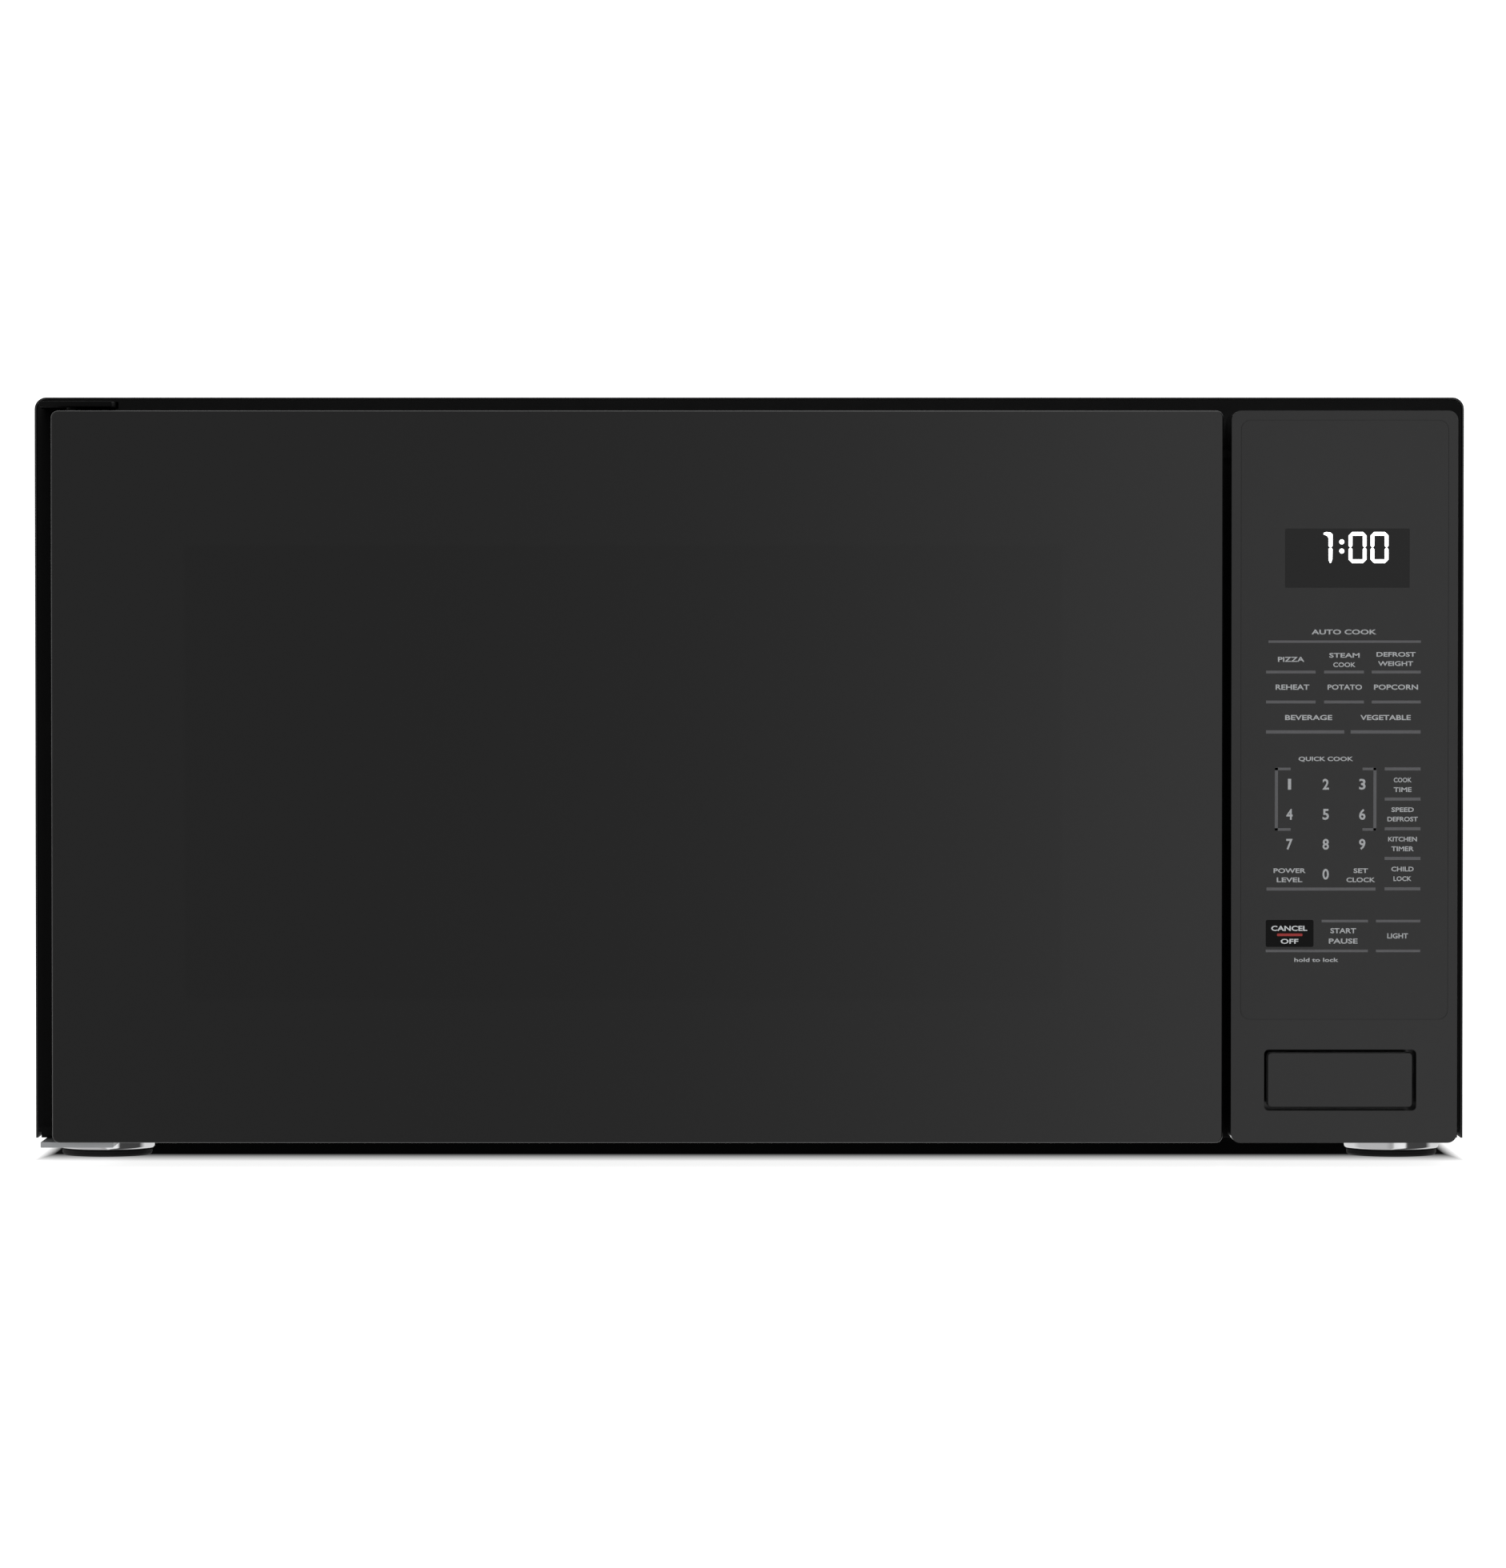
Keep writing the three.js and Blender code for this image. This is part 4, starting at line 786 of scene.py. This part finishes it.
class OvenFeet(bpy.types.Operator):
    """Two front feet with bright collars and two plain rear feet."""

    bl_idname = "oven.feet"
    bl_label = "Feet"

    def execute(self, context):
        suits = oven_finishes(context)
        for side in ("left", "right"):
            low, high = room(f"front_{side}_foot_collar")
            x, y, r = (low.x + high.x) / 2, (low.y + high.y) / 2, (high.x - low.x) / 2
            bottom, top = low.z, high.z
            rim = bottom + 6.7
            collar = turned([(0, bottom), (r - 0.6, bottom), (r, bottom + 0.7), (r, rim - 0.7),
                             (r - 0.6, rim), (3, rim), (3, top), (0, top)], 72, edge=0.25)
            place(f"front_{side}_foot_bright_collar", shifted(collar, x, y), "cabinet", suits["chrome"],
                  (f"front_{side}_foot_collar",), "chrome")
            low, high = room(f"front_{side}_foot_pad")
            r, top = (high.x - low.x) / 2, high.z
            pad = turned([(0, 0.4), (r - 5, 0.4), (r - 4.5, 0), (r - 0.8, 0), (r, 0.8), (r, top - 0.4),
                          (r - 0.4, top), (0, top)], 72)
            ribs = [turned([(q, 0.1), (q + 0.6, 0), (q + 1.2, 0.1), (q + 0.6, 0.6)], 48, closed=True)
                    for q in (4, 8, 12)]
            place(f"front_{side}_foot_grip", shifted(joined(pad, *ribs), x, y), "cabinet", suits["rubber"],
                  (f"front_{side}_foot_pad",), "rubber")
            low, high = room(f"rear_{side}_foot_pad")
            x, y, r = (low.x + high.x) / 2, (low.y + high.y) / 2, (high.x - low.x) / 2
            pad = turned([(0, 0.5), (r - 5, 0.5), (r - 4.4, 0), (r - 1.6, 0), (r - 0.8, 0.6), (r, 8.9),
                          (r - 0.8, 9.7), (3, 9.7), (3, high.z), (0, high.z)], 56, edge=0.3)
            place(f"rear_{side}_foot_grip", shifted(pad, x, y), "cabinet", suits["rubber"],
                  (f"rear_{side}_foot_pad",), "rubber")
        return {"FINISHED"}


class OvenCavity(bpy.types.Operator):
    """Enamelled cavity, mica cover with its clips, waveguide, lamp and lamp holder."""

    bl_idname = "oven.cavity"
    bl_label = "Cavity"

    def execute(self, context):
        suits = oven_finishes(context)
        trace_all((
            ("oven_cavity", "enamel", "cavity_enamel", 0.2),
            ("waveguide", "steel", "zinc_steel", 0.25),
            ("lamp_holder", "nylon", "white_nylon", 0.4),
            ("oven_lamp", "glass", "clear_glass", 0.0),
        ), suits)
        low, high = room("waveguide_cover")
        sheet = block(low, high, 4, "X", 0.12)
        clips = [drum("X", (0, y, z), 3.2, low.x - 0.9, low.x + 0.1, 24, 0.4)
                 for y in (low.y + 8, high.y - 8) for z in (low.z + 8, high.z - 8)]
        place("waveguide_cover_mica", sheet, "cabinet", suits["mica"], ("waveguide_cover",), "mica")
        place("waveguide_cover_clips", joined(*clips), "cabinet", suits["nylon"], (), "white_nylon")
        return {"FINISHED"}


class OvenPower(bpy.types.Operator):
    """Magnetron, thermal cut-out, transformer and capacitor."""

    bl_idname = "oven.power"
    bl_label = "Power parts"

    def execute(self, context):
        suits = oven_finishes(context)
        trace_all((
            ("magnetron", "aluminium", "aluminium", 0.2),
            ("thermal_cutout", "moulding", "dark_plastic", 0.25),
            ("transformer_core", "core", "zinc_steel", 0.5),
            ("transformer_windings", "copper", "copper", 1.2),
            ("high_voltage_capacitor", "aluminium", "aluminium", 0.6),
        ), suits)
        return {"FINISHED"}


class OvenCooling(bpy.types.Operator):
    """Fan duct, motor, blades and the mains filter board."""

    bl_idname = "oven.cooling"
    bl_label = "Cooling"

    def execute(self, context):
        suits = oven_finishes(context)
        trace_all((
            ("fan_duct", "moulding", "dark_plastic", 0.3),
            ("fan_motor", "steel", "zinc_steel", 0.4),
            ("fan_blades", "nylon", "white_nylon", 0.3),
            ("mains_filter_board", "laminate", "laminate", 0.2),
        ), suits)
        return {"FINISHED"}


class OvenTurntable(bpy.types.Operator):
    """Turntable motor, coupler, roller ring, wheels and glass tray."""

    bl_idname = "oven.turntable"
    bl_label = "Turntable"

    def execute(self, context):
        suits = oven_finishes(context)
        trace_all((
            ("turntable_motor", "steel", "zinc_steel", 0.4),
            ("turntable_coupler", "nylon", "white_nylon", 0.6),
        ), suits)
        low, high = room("turntable_motor")
        middle_x = (low.x + high.x) / 2
        low, high = room("glass_tray")
        middle_y = (low.y + high.y) / 2
        r, bottom = (high.x - low.x) / 2, high.z - 12.5
        profile = [(0, bottom), (r - 60, bottom), (r - 26, bottom), (r - 14, bottom + 2.4),
                   (r - 3, bottom + 6), (r - 0.8, bottom + 8.6), (r, bottom + 11), (r - 0.6, bottom + 12.2),
                   (r - 1.9, bottom + 12.5), (r - 3.4, bottom + 12.0), (r - 7, bottom + 9.5),
                   (r - 17, bottom + 7.0), (r - 28, bottom + 5), (r - 60, bottom + 4.7), (60, bottom + 4.7),
                   (58.5, bottom + 4.2), (57, bottom + 4.7),
                   (24, bottom + 4.7), (22.5, bottom + 4.2), (21, bottom + 4.7), (0, bottom + 4.7)]
        plate = turned(profile, 128)
        lugs = [moved(block((14, -3.5, bottom - 5), (24, 3.5, bottom + 0.5), 1.4, "Z", 0.5),
                      Matrix.Rotation(math.radians(turn), 4, "Z")) for turn in (60, 180, 300)]
        place("glass_tray_dish", shifted(joined(plate, *lugs), middle_x, middle_y), "glass_tray",
              suits["glass"], ("glass_tray",), "clear_glass", 30)
        low, high = room("roller_wheel_1")
        axle = (low.z + high.z) / 2
        inner, outer, reach = 114.0, 122.0, 133.0
        hoop = turned([(inner, axle - 3), (outer, axle - 3), (outer, axle + 3), (inner, axle + 3)], 96,
                      closed=True, edge=1.3, edge_steps=3)
        arms = [moved(joined(drum("X", (0, 0, axle), 2.2, outer - 3, reach, 20, 0.4),
                             drum("X", (0, 0, axle), 2.95, outer - 1, outer + 2.4, 20, 0.3)),
                      Matrix.Rotation(math.radians(turn), 4, "Z")) for turn in (90, 210, 330)]
        place("roller_ring_hoop", shifted(joined(hoop, *arms), middle_x, middle_y), "roller_ring",
              suits["nylon"], ("roller_ring",), "white_nylon")
        radius, half = 9.0, 3.0
        tread = [(2.5, -half), (5, -half), (5.6, -half + 0.9), (7.4, -half + 0.9), (7.9, -half),
                 (radius, -half), (radius, half), (7.9, half), (7.4, half - 0.9), (5.6, half - 0.9),
                 (5, half), (2.5, half)]
        for i, turn in enumerate((90, 210, 330), 1):
            wheel = turned(tread, 48, closed=True, edge=0.35)
            around = Matrix.Rotation(math.radians(turn), 4, "Z")
            spot = around @ Vector((128, 0, axle)) + Vector((middle_x, middle_y, 0))
            place(f"roller_wheel_{i}_tread", moved(wheel, FROM_Z["X"], around, Matrix.Translation(spot)),
                  f"roller_wheel_{i}", suits["nylon"], (f"roller_wheel_{i}",), "white_nylon")
        return {"FINISHED"}


class OvenDoor(bpy.types.Operator):
    """Door glass, frame, choke, perforated screen, inner glass and inner cover."""

    bl_idname = "oven.door"
    bl_label = "Door"

    def execute(self, context):
        scene, suits = context.scene, oven_finishes(context)
        sizes = scene.oven_door
        trace_all((
            ("door_frame", "moulding", "dark_plastic", 0.35),
            ("door_choke", "steel", "zinc_steel", 0.15),
            ("door_inner_cover", "inner cover", "black_plastic", 0.3),
        ), suits)
        screen_low, screen_high = room("door_screen")
        # the window area set here is where the door glass takes its painted shade
        left, right, below, above = WINDOW_LAPS
        window = (((screen_low.x + left) * MM, (screen_high.x - right) * MM),
                  ((screen_low.z + below) * MM, (screen_high.z - above) * MM))
        low, high = room("door_glass")
        pane = block(low, high, sizes.glass_corner / MM, "Y", sizes.glass_edge / MM)
        place("door_glass_pane", pane, "door", door_glass_finish(scene.oven_colours, window),
              ("door_glass",), "black_glass")
        low, high = room("door_inner_glass")
        pane = block(low, high, 3, "Y", 0.5)
        place("door_inner_pane", pane, "door", suits["glass"], ("door_inner_glass",), "clear_glass")
        # the screen takes the paint darkened as painted shade
        self.screen(sizes, screen_low, screen_high, suits["shaded frame paint"])
        return {"FINISHED"}

    def screen(self, sizes, low, high, paint):
        """One pair of six-sided cells, repeated both ways and given its thickness, inside a plain rim."""
        pitch, hole = sizes.mesh_pitch / MM, sizes.mesh_hole / MM
        row = pitch * math.sqrt(3) / 2
        shape = bmesh.new()
        for x, z in ((0, 0), (pitch / 2, row)):
            loops = []
            for width in (pitch, hole):
                made = bmesh.ops.create_circle(
                    shape, cap_ends=False, segments=6, radius=width / math.sqrt(3),
                    matrix=Matrix.Translation((x, 0, z)) @ Matrix.Rotation(math.pi / 2, 4, "X"))
                loops += dict.fromkeys(e for v in made["verts"] for e in v.link_edges)
            bmesh.ops.bridge_loops(shape, edges=loops)
        bmesh.ops.remove_doubles(shape, verts=shape.verts, dist=1e-3)
        bmesh.ops.recalc_face_normals(shape, faces=shape.faces)
        bmesh.ops.translate(shape, vec=(low.x + 2 + pitch / 2, (low.y + high.y) / 2, low.z + 2 + pitch / 2),
                            verts=shape.verts)
        net = place("door_screen_holes", shape, "door", paint, ("door_screen",), "black_paint", even=False)
        across = int((high.x - low.x - 4 - pitch) // pitch)
        up = int((high.z - low.z - 4 - pitch) // (2 * row))
        for axis, count, step in ((0, across, pitch), (2, up, 2 * row)):
            array = net.modifiers.new("repeat", "ARRAY")
            array.count, array.use_relative_offset, array.use_constant_offset = count, False, True
            offset = [0.0, 0.0, 0.0]
            offset[axis] = step * MM
            array.constant_offset_displace = offset
            array.use_merge_vertices, array.merge_threshold = True, 1e-5
        thick = net.modifiers.new("thickness", "SOLIDIFY")
        thick.thickness, thick.offset = 0.5 * MM, 0.0
        wide = SCREEN_RIM
        rim = ring_plate(((low.x, low.z), (high.x, high.z)),
                         ((low.x + wide, low.z + wide), (high.x - wide, high.z - wide)), 1.0, 1.0,
                         low.y, high.y, 0.08)
        place("door_screen_rim", rim, "door", paint, (), "black_paint")


class OvenLatch(bpy.types.Operator):
    """Door hooks and their spring, latch board, release lever, interlock switches and plungers."""

    bl_idname = "oven.latch"
    bl_label = "Latch"

    def execute(self, context):
        suits = oven_finishes(context)
        rows = [
            ("door_latch", "nylon", "white_nylon", 0.4),
            ("latch_board", "nylon", "white_nylon", 0.3),
            ("release_lever", "nylon", "white_nylon", 0.35),
            # the upper hinge takes the paint darkened as painted shade
            ("upper_hinge", "shaded frame paint", "black_paint", 0.25),
            ("lower_hinge", "steel", "zinc_steel", 0.25),
        ]
        for spot in ("lower", "middle", "upper"):
            rows.append((f"{spot}_interlock_switch", "moulding", "dark_plastic", 0.3))
            rows.append((f"{spot}_switch_plunger", "nylon", "white_nylon", 0.3))
        trace_all(rows, suits)
        low, high = room("latch_spring")
        coil = helix(2.2, 0.45, high.z - low.z, 7)
        place("latch_spring_coil", shifted(coil, (low.x + high.x) / 2, (low.y + high.y) / 2, low.z), "door",
              suits["spring"], ("latch_spring",), "spring_steel", 60)
        return {"FINISHED"}


# What is printed on the keypad, from the sheet's lower left corner, in millimetres.
# Lines: left end, right end, height over the sheet's foot, thickness.
KEY_LINES = (
    (11.4, 76.0, 160.1, 1.0), (10.4, 31.4, 147.2, 1.2), (35.0, 51.9, 147.2, 1.2), (55.2, 76.0, 147.2, 1.2),
    (10.4, 31.4, 134.5, 1.2), (35.0, 51.9, 134.5, 1.2), (55.2, 76.0, 134.5, 1.2), (10.4, 43.6, 121.8, 1.4),
    (46.3, 76.0, 121.8, 1.4), (10.7, 57.0, 55.1, 1.3), (34.1, 53.8, 41.5, 1.1), (10.4, 53.8, 28.8, 1.1),
    (57.2, 76.0, 41.5, 1.1), (57.2, 76.0, 28.8, 1.1), (60.8, 76.0, 106.1, 1.3), (60.8, 76.0, 93.3, 1.3),
    (60.8, 76.0, 80.7, 1.3), (60.8, 76.0, 68.1, 1.3), (60.8, 76.0, 55.2, 1.3),
    (14.2, 20.9, 106.1, 1.1), (14.2, 20.9, 80.4, 1.1), (51.4, 57.2, 106.1, 1.1), (51.4, 57.2, 80.4, 1.1),
)
# Upright bars of the two brackets: left edge, right edge, foot, head.
KEY_BARS = ((14.2, 15.5, 79.9, 106.6), (56.0, 57.3, 79.9, 106.6))
# Words: text, middle across, middle up, width, height.
KEY_WORDS = (
    ("AUTO COOK", 43.4, 164.2, 27.5, 2.1), ("PIZZA", 21.0, 152.6, 11.2, 2.1),
    ("STEAM", 43.6, 154.3, 12.9, 2.0),
    ("COOK", 43.6, 150.3, 9.5, 2.0), ("DEFROST", 65.5, 154.7, 16.6, 2.0), ("WEIGHT", 65.3, 150.8, 14.9, 2.0),
    ("REHEAT", 21.6, 140.8, 14.3, 2.2), ("POTATO", 43.8, 140.8, 14.6, 2.2),
    ("POPCORN", 65.5, 140.8, 18.7, 2.2),
    ("BEVERAGE", 28.5, 127.9, 20.0, 2.2), ("VEGETABLE", 61.1, 127.9, 21.4, 2.2),
    ("QUICK COOK", 35.8, 110.2, 23.1, 2.2), ("POWER", 20.5, 62.9, 13.6, 2.0),
    ("LEVEL", 20.5, 59.0, 10.9, 2.0),
    ("SET", 50.7, 62.9, 6.1, 2.0), ("CLOCK", 50.7, 59.0, 12.2, 2.0), ("COOK", 68.4, 101.4, 7.6, 2.0),
    ("TIME", 68.4, 97.3, 7.6, 2.0), ("SPEED", 68.4, 88.8, 9.5, 2.0), ("DEFROST", 68.4, 84.8, 12.9, 2.0),
    ("KITCHEN", 68.4, 76.3, 12.2, 2.0), ("TIMER", 68.4, 72.2, 9.5, 2.0), ("CHILD", 68.4, 63.6, 9.5, 2.0),
    ("LOCK", 68.4, 59.5, 7.6, 2.0), ("START", 43.3, 37.4, 10.9, 2.2), ("PAUSE", 43.3, 33.0, 12.2, 2.2),
    ("LIGHT", 66.4, 35.2, 8.8, 2.2), ("hold to lock", 31.9, 25.0, 18.7, 1.7),
)
CANCEL_WORDS = (("CANCEL", 20.4, 38.4, 15.3, 2.2), ("OFF", 20.5, 32.9, 7.5, 2.1))
CANCEL_KEY = ((10.4, 30.5), (30.7, 42.0))
CANCEL_BAR = ((15.2, 35.1), (26.0, 36.2))
DIGIT_COLUMNS, DIGIT_ROWS, DIGIT_SIZE = (20.4, 35.8, 51.3), (99.6, 86.8, 74.1, 61.4), (2.7, 4.6)


class OvenTower(bpy.types.Operator):
    """Control tower: shell, keypad sheet with its print, lens, clock digits, display module and board."""

    bl_idname = "oven.tower"
    bl_label = "Control tower"

    def execute(self, context):
        scene, suits = context.scene, oven_finishes(context)
        trace_all((
            ("control_panel", "tower", "black_plastic", 0.5),
            ("display_module", "moulding", "dark_plastic", 0.4),
            ("control_board", "laminate", "laminate", 0.2),
        ), suits)
        low, high = room("keypad_sheet")
        lens_low, lens_high = room("display_window")
        left, right, below, above = LENS_LAPS
        spread = Vector((SHEET_SPREAD, 0, SHEET_SPREAD))
        outer_low, outer_high = low - spread, high + spread
        sheet = ring_plate(((outer_low.x, outer_low.z), (outer_high.x, outer_high.z)),
                           ((lens_low.x + left, lens_low.z + below),
                            (lens_high.x - right, lens_high.z - above)),
                           4.0, 0.3, low.y, high.y, 0.06)
        place("keypad_overlay", sheet, "cabinet", suits["sheet"], ("keypad_sheet",), "black_plastic")
        lens = block((lens_low.x, lens_low.y + LENS_DEPTH, lens_low.z), lens_high, 0.3, "Y", 0.06)
        place("display_lens", lens, "cabinet", suits["lens"], ("display_window",), "smoked_lens")
        self.print_keys(scene, suits, low)
        self.clock(scene, suits, lens_low, lens_high)
        return {"FINISHED"}

    def print_keys(self, scene, suits, low):
        thick = scene.oven_tower.print_height / MM
        front = low.y - thick
        back = low.y + 0.05
        at_x, at_z = low.x, low.z
        rules = [block((at_x + a, front, at_z + h - t / 2), (at_x + b, back, at_z + h + t / 2))
                for a, b, h, t in KEY_LINES]
        rules += [block((at_x + a, front, at_z + c), (at_x + b, back, at_z + d)) for a, b, c, d in KEY_BARS]
        place("keypad_rules", joined(*rules), "cabinet", suits["rule ink"])
        letters = list(KEY_WORDS)
        for i, digit in enumerate("123456789"):
            wide, tall = DIGIT_SIZE
            wide *= 0.5 if digit == "1" else 1.0
            letters.append((digit, DIGIT_COLUMNS[i % 3], DIGIT_ROWS[i // 3], wide, tall))
        letters.append(("0", DIGIT_COLUMNS[1], DIGIT_ROWS[3], *DIGIT_SIZE))
        words = [lettering(t, (at_x + x, at_z + z), w, h, low.y, 2 * thick) for t, x, z, w, h in letters]
        place("keypad_print", joined(*words), "cabinet", suits["grey ink"])
        (a, b), (c, d) = CANCEL_KEY
        key = block((at_x + a, front, at_z + b), (at_x + c, back, at_z + d), 0.8, "Y")
        place("cancel_key_ground", key, "cabinet", suits["cancel key"])
        (a, b), (c, d) = CANCEL_BAR
        bar = block((at_x + a, front - thick, at_z + b), (at_x + c, front, at_z + d), 0.4, "Y")
        place("cancel_key_bar", bar, "cabinet", suits["red ink"])
        words = [lettering(t, (at_x + x, at_z + z), w, h, front, 2 * thick) for t, x, z, w, h in CANCEL_WORDS]
        place("cancel_key_print", joined(*words), "cabinet", suits["white ink"])

    def clock(self, scene, suits, low, high):
        """The time 1:00, each digit drawn by two bent strokes that nearly meet at its middle."""
        stroke = scene.oven_tower.digit_stroke / MM
        front, back = low.y - 0.04, low.y + 0.2
        top = high.z - CLOCK_DROP
        foot = top - CLOCK_HEIGHT
        middle = (top + foot) / 2
        shapes = []
        ch, split = CLOCK_CORNER, 0.12
        for left in (low.x + at for at in CLOCK_PLACES):
            right = left + CLOCK_WIDTH
            upper = [(left, middle + 0.75), (left + 0.5, middle + split),
                     (left + stroke - 0.5, middle + split), (left + stroke, middle + 0.75),
                     (left + stroke, top - stroke), (right - stroke, top - stroke),
                     (right - stroke, middle + 0.75), (right - stroke + 0.5, middle + split),
                     (right - 0.5, middle + split), (right, middle + 0.75), (right, top - ch),
                     (right - ch, top), (left + ch, top), (left, top - ch)]
            lower = [(x, 2 * middle - z) for x, z in upper]
            shapes += [slab(upper, front, back), slab(lower, front, back)]
        one = low.x + 19.3
        hook = [(one - 2.2, top - 1.0), (one - 1.9, top - 0.3), (one - 0.9, top), (one + 0.7, top - 0.2),
                (one + 1.7, top - 1.0), (one + stroke + 0.1, top - 2.2), (one + stroke + 0.1, middle + 0.7),
                (one + stroke - 0.4, middle + 0.12), (one + 0.4, middle + 0.12), (one, middle + 0.7),
                (one, top - 2.6), (one - 0.6, top - 1.7)]
        leg = [(one, middle - 0.7), (one + 0.4, middle - 0.12), (one + stroke - 0.4, middle - 0.12),
               (one + stroke + 0.1, middle - 0.7), (one + stroke, foot + 1.6),
               (one + stroke - 0.6, foot + 0.1), (one + 0.6, foot), (one + 0.1, foot + 1.2)]
        dots = [drum("Y", (low.x + 24.9, 0, z), 1.05, front, back, 24) for z in (top - 4.2, top - 8.1)]
        place("display_digits", joined(slab(hook, front, back), slab(leg, front, back), *shapes, *dots),
              "cabinet", suits["digits"])


class OvenButton(bpy.types.Operator):
    """Door button and the spring behind it."""

    bl_idname = "oven.button"
    bl_label = "Door button"

    def execute(self, context):
        scene, suits = context.scene, oven_finishes(context)
        low, high = room("door_button")
        middle = Matrix.Translation((low + high) / 2)
        across, _, up = high - low
        slimmer = Matrix.Diagonal((1 - 2 * BUTTON_EASE / across, 1, 1 - 2 * BUTTON_EASE / up, 1))
        cap = traced("door_button", scene.oven_tower.button_edge / MM, 3)
        cap = moved(cap, middle.inverted(), slimmer, middle)
        place("door_button_cap", cap, "door_button", suits["tower"], ("door_button",), "black_plastic")
        low, high = room("button_spring")
        x, z = (low.x + high.x) / 2, (low.z + high.z) / 2
        coil = moved(helix(4.5, 0.5, high.y - low.y, 4.5), FROM_Z["Y"], Matrix.Translation((x, low.y, z)))
        made = place("button_spring_coil", coil, "cabinet", suits["spring"], ("button_spring",),
                     "spring_steel", 60)
        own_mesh(made)
        return {"FINISHED"}


STEPS = (OvenStudio, OvenCabinet, OvenFeet, OvenCavity, OvenPower, OvenCooling, OvenTurntable, OvenDoor,
         OvenLatch, OvenTower, OvenButton)


class VIEW3D_PT_oven(bpy.types.Panel):
    """The oven's sizes, colours and steps."""

    bl_label = "Microwave oven"
    bl_space_type = "VIEW_3D"
    bl_region_type = "UI"
    bl_category = "Oven"

    def draw(self, context):
        for name, group in GROUPS.items():
            box = self.layout.box()
            for size in group.__annotations__:
                box.prop(getattr(context.scene, name), size)
        column = self.layout.column()
        for step in STEPS:
            column.operator(step.bl_idname, text=step.bl_label)


def register():
    for name, group in GROUPS.items():
        bpy.utils.register_class(group)
        setattr(bpy.types.Scene, name, bpy.props.PointerProperty(type=group))
    for each in (*STEPS, VIEW3D_PT_oven):
        bpy.utils.register_class(each)


def unregister():
    for each in (VIEW3D_PT_oven, *reversed(STEPS)):
        bpy.utils.unregister_class(each)
    for name, group in reversed(GROUPS.items()):
        delattr(bpy.types.Scene, name)
        bpy.utils.unregister_class(group)


def main():
    register()
    bpy.ops.oven.studio()
    bpy.ops.oven.cabinet()
    bpy.ops.oven.feet()
    bpy.ops.oven.cavity()
    bpy.ops.oven.power()
    bpy.ops.oven.cooling()
    bpy.ops.oven.turntable()
    bpy.ops.oven.door()
    bpy.ops.oven.latch()
    bpy.ops.oven.tower()
    bpy.ops.oven.button()


if __name__ == "__main__":
    main()
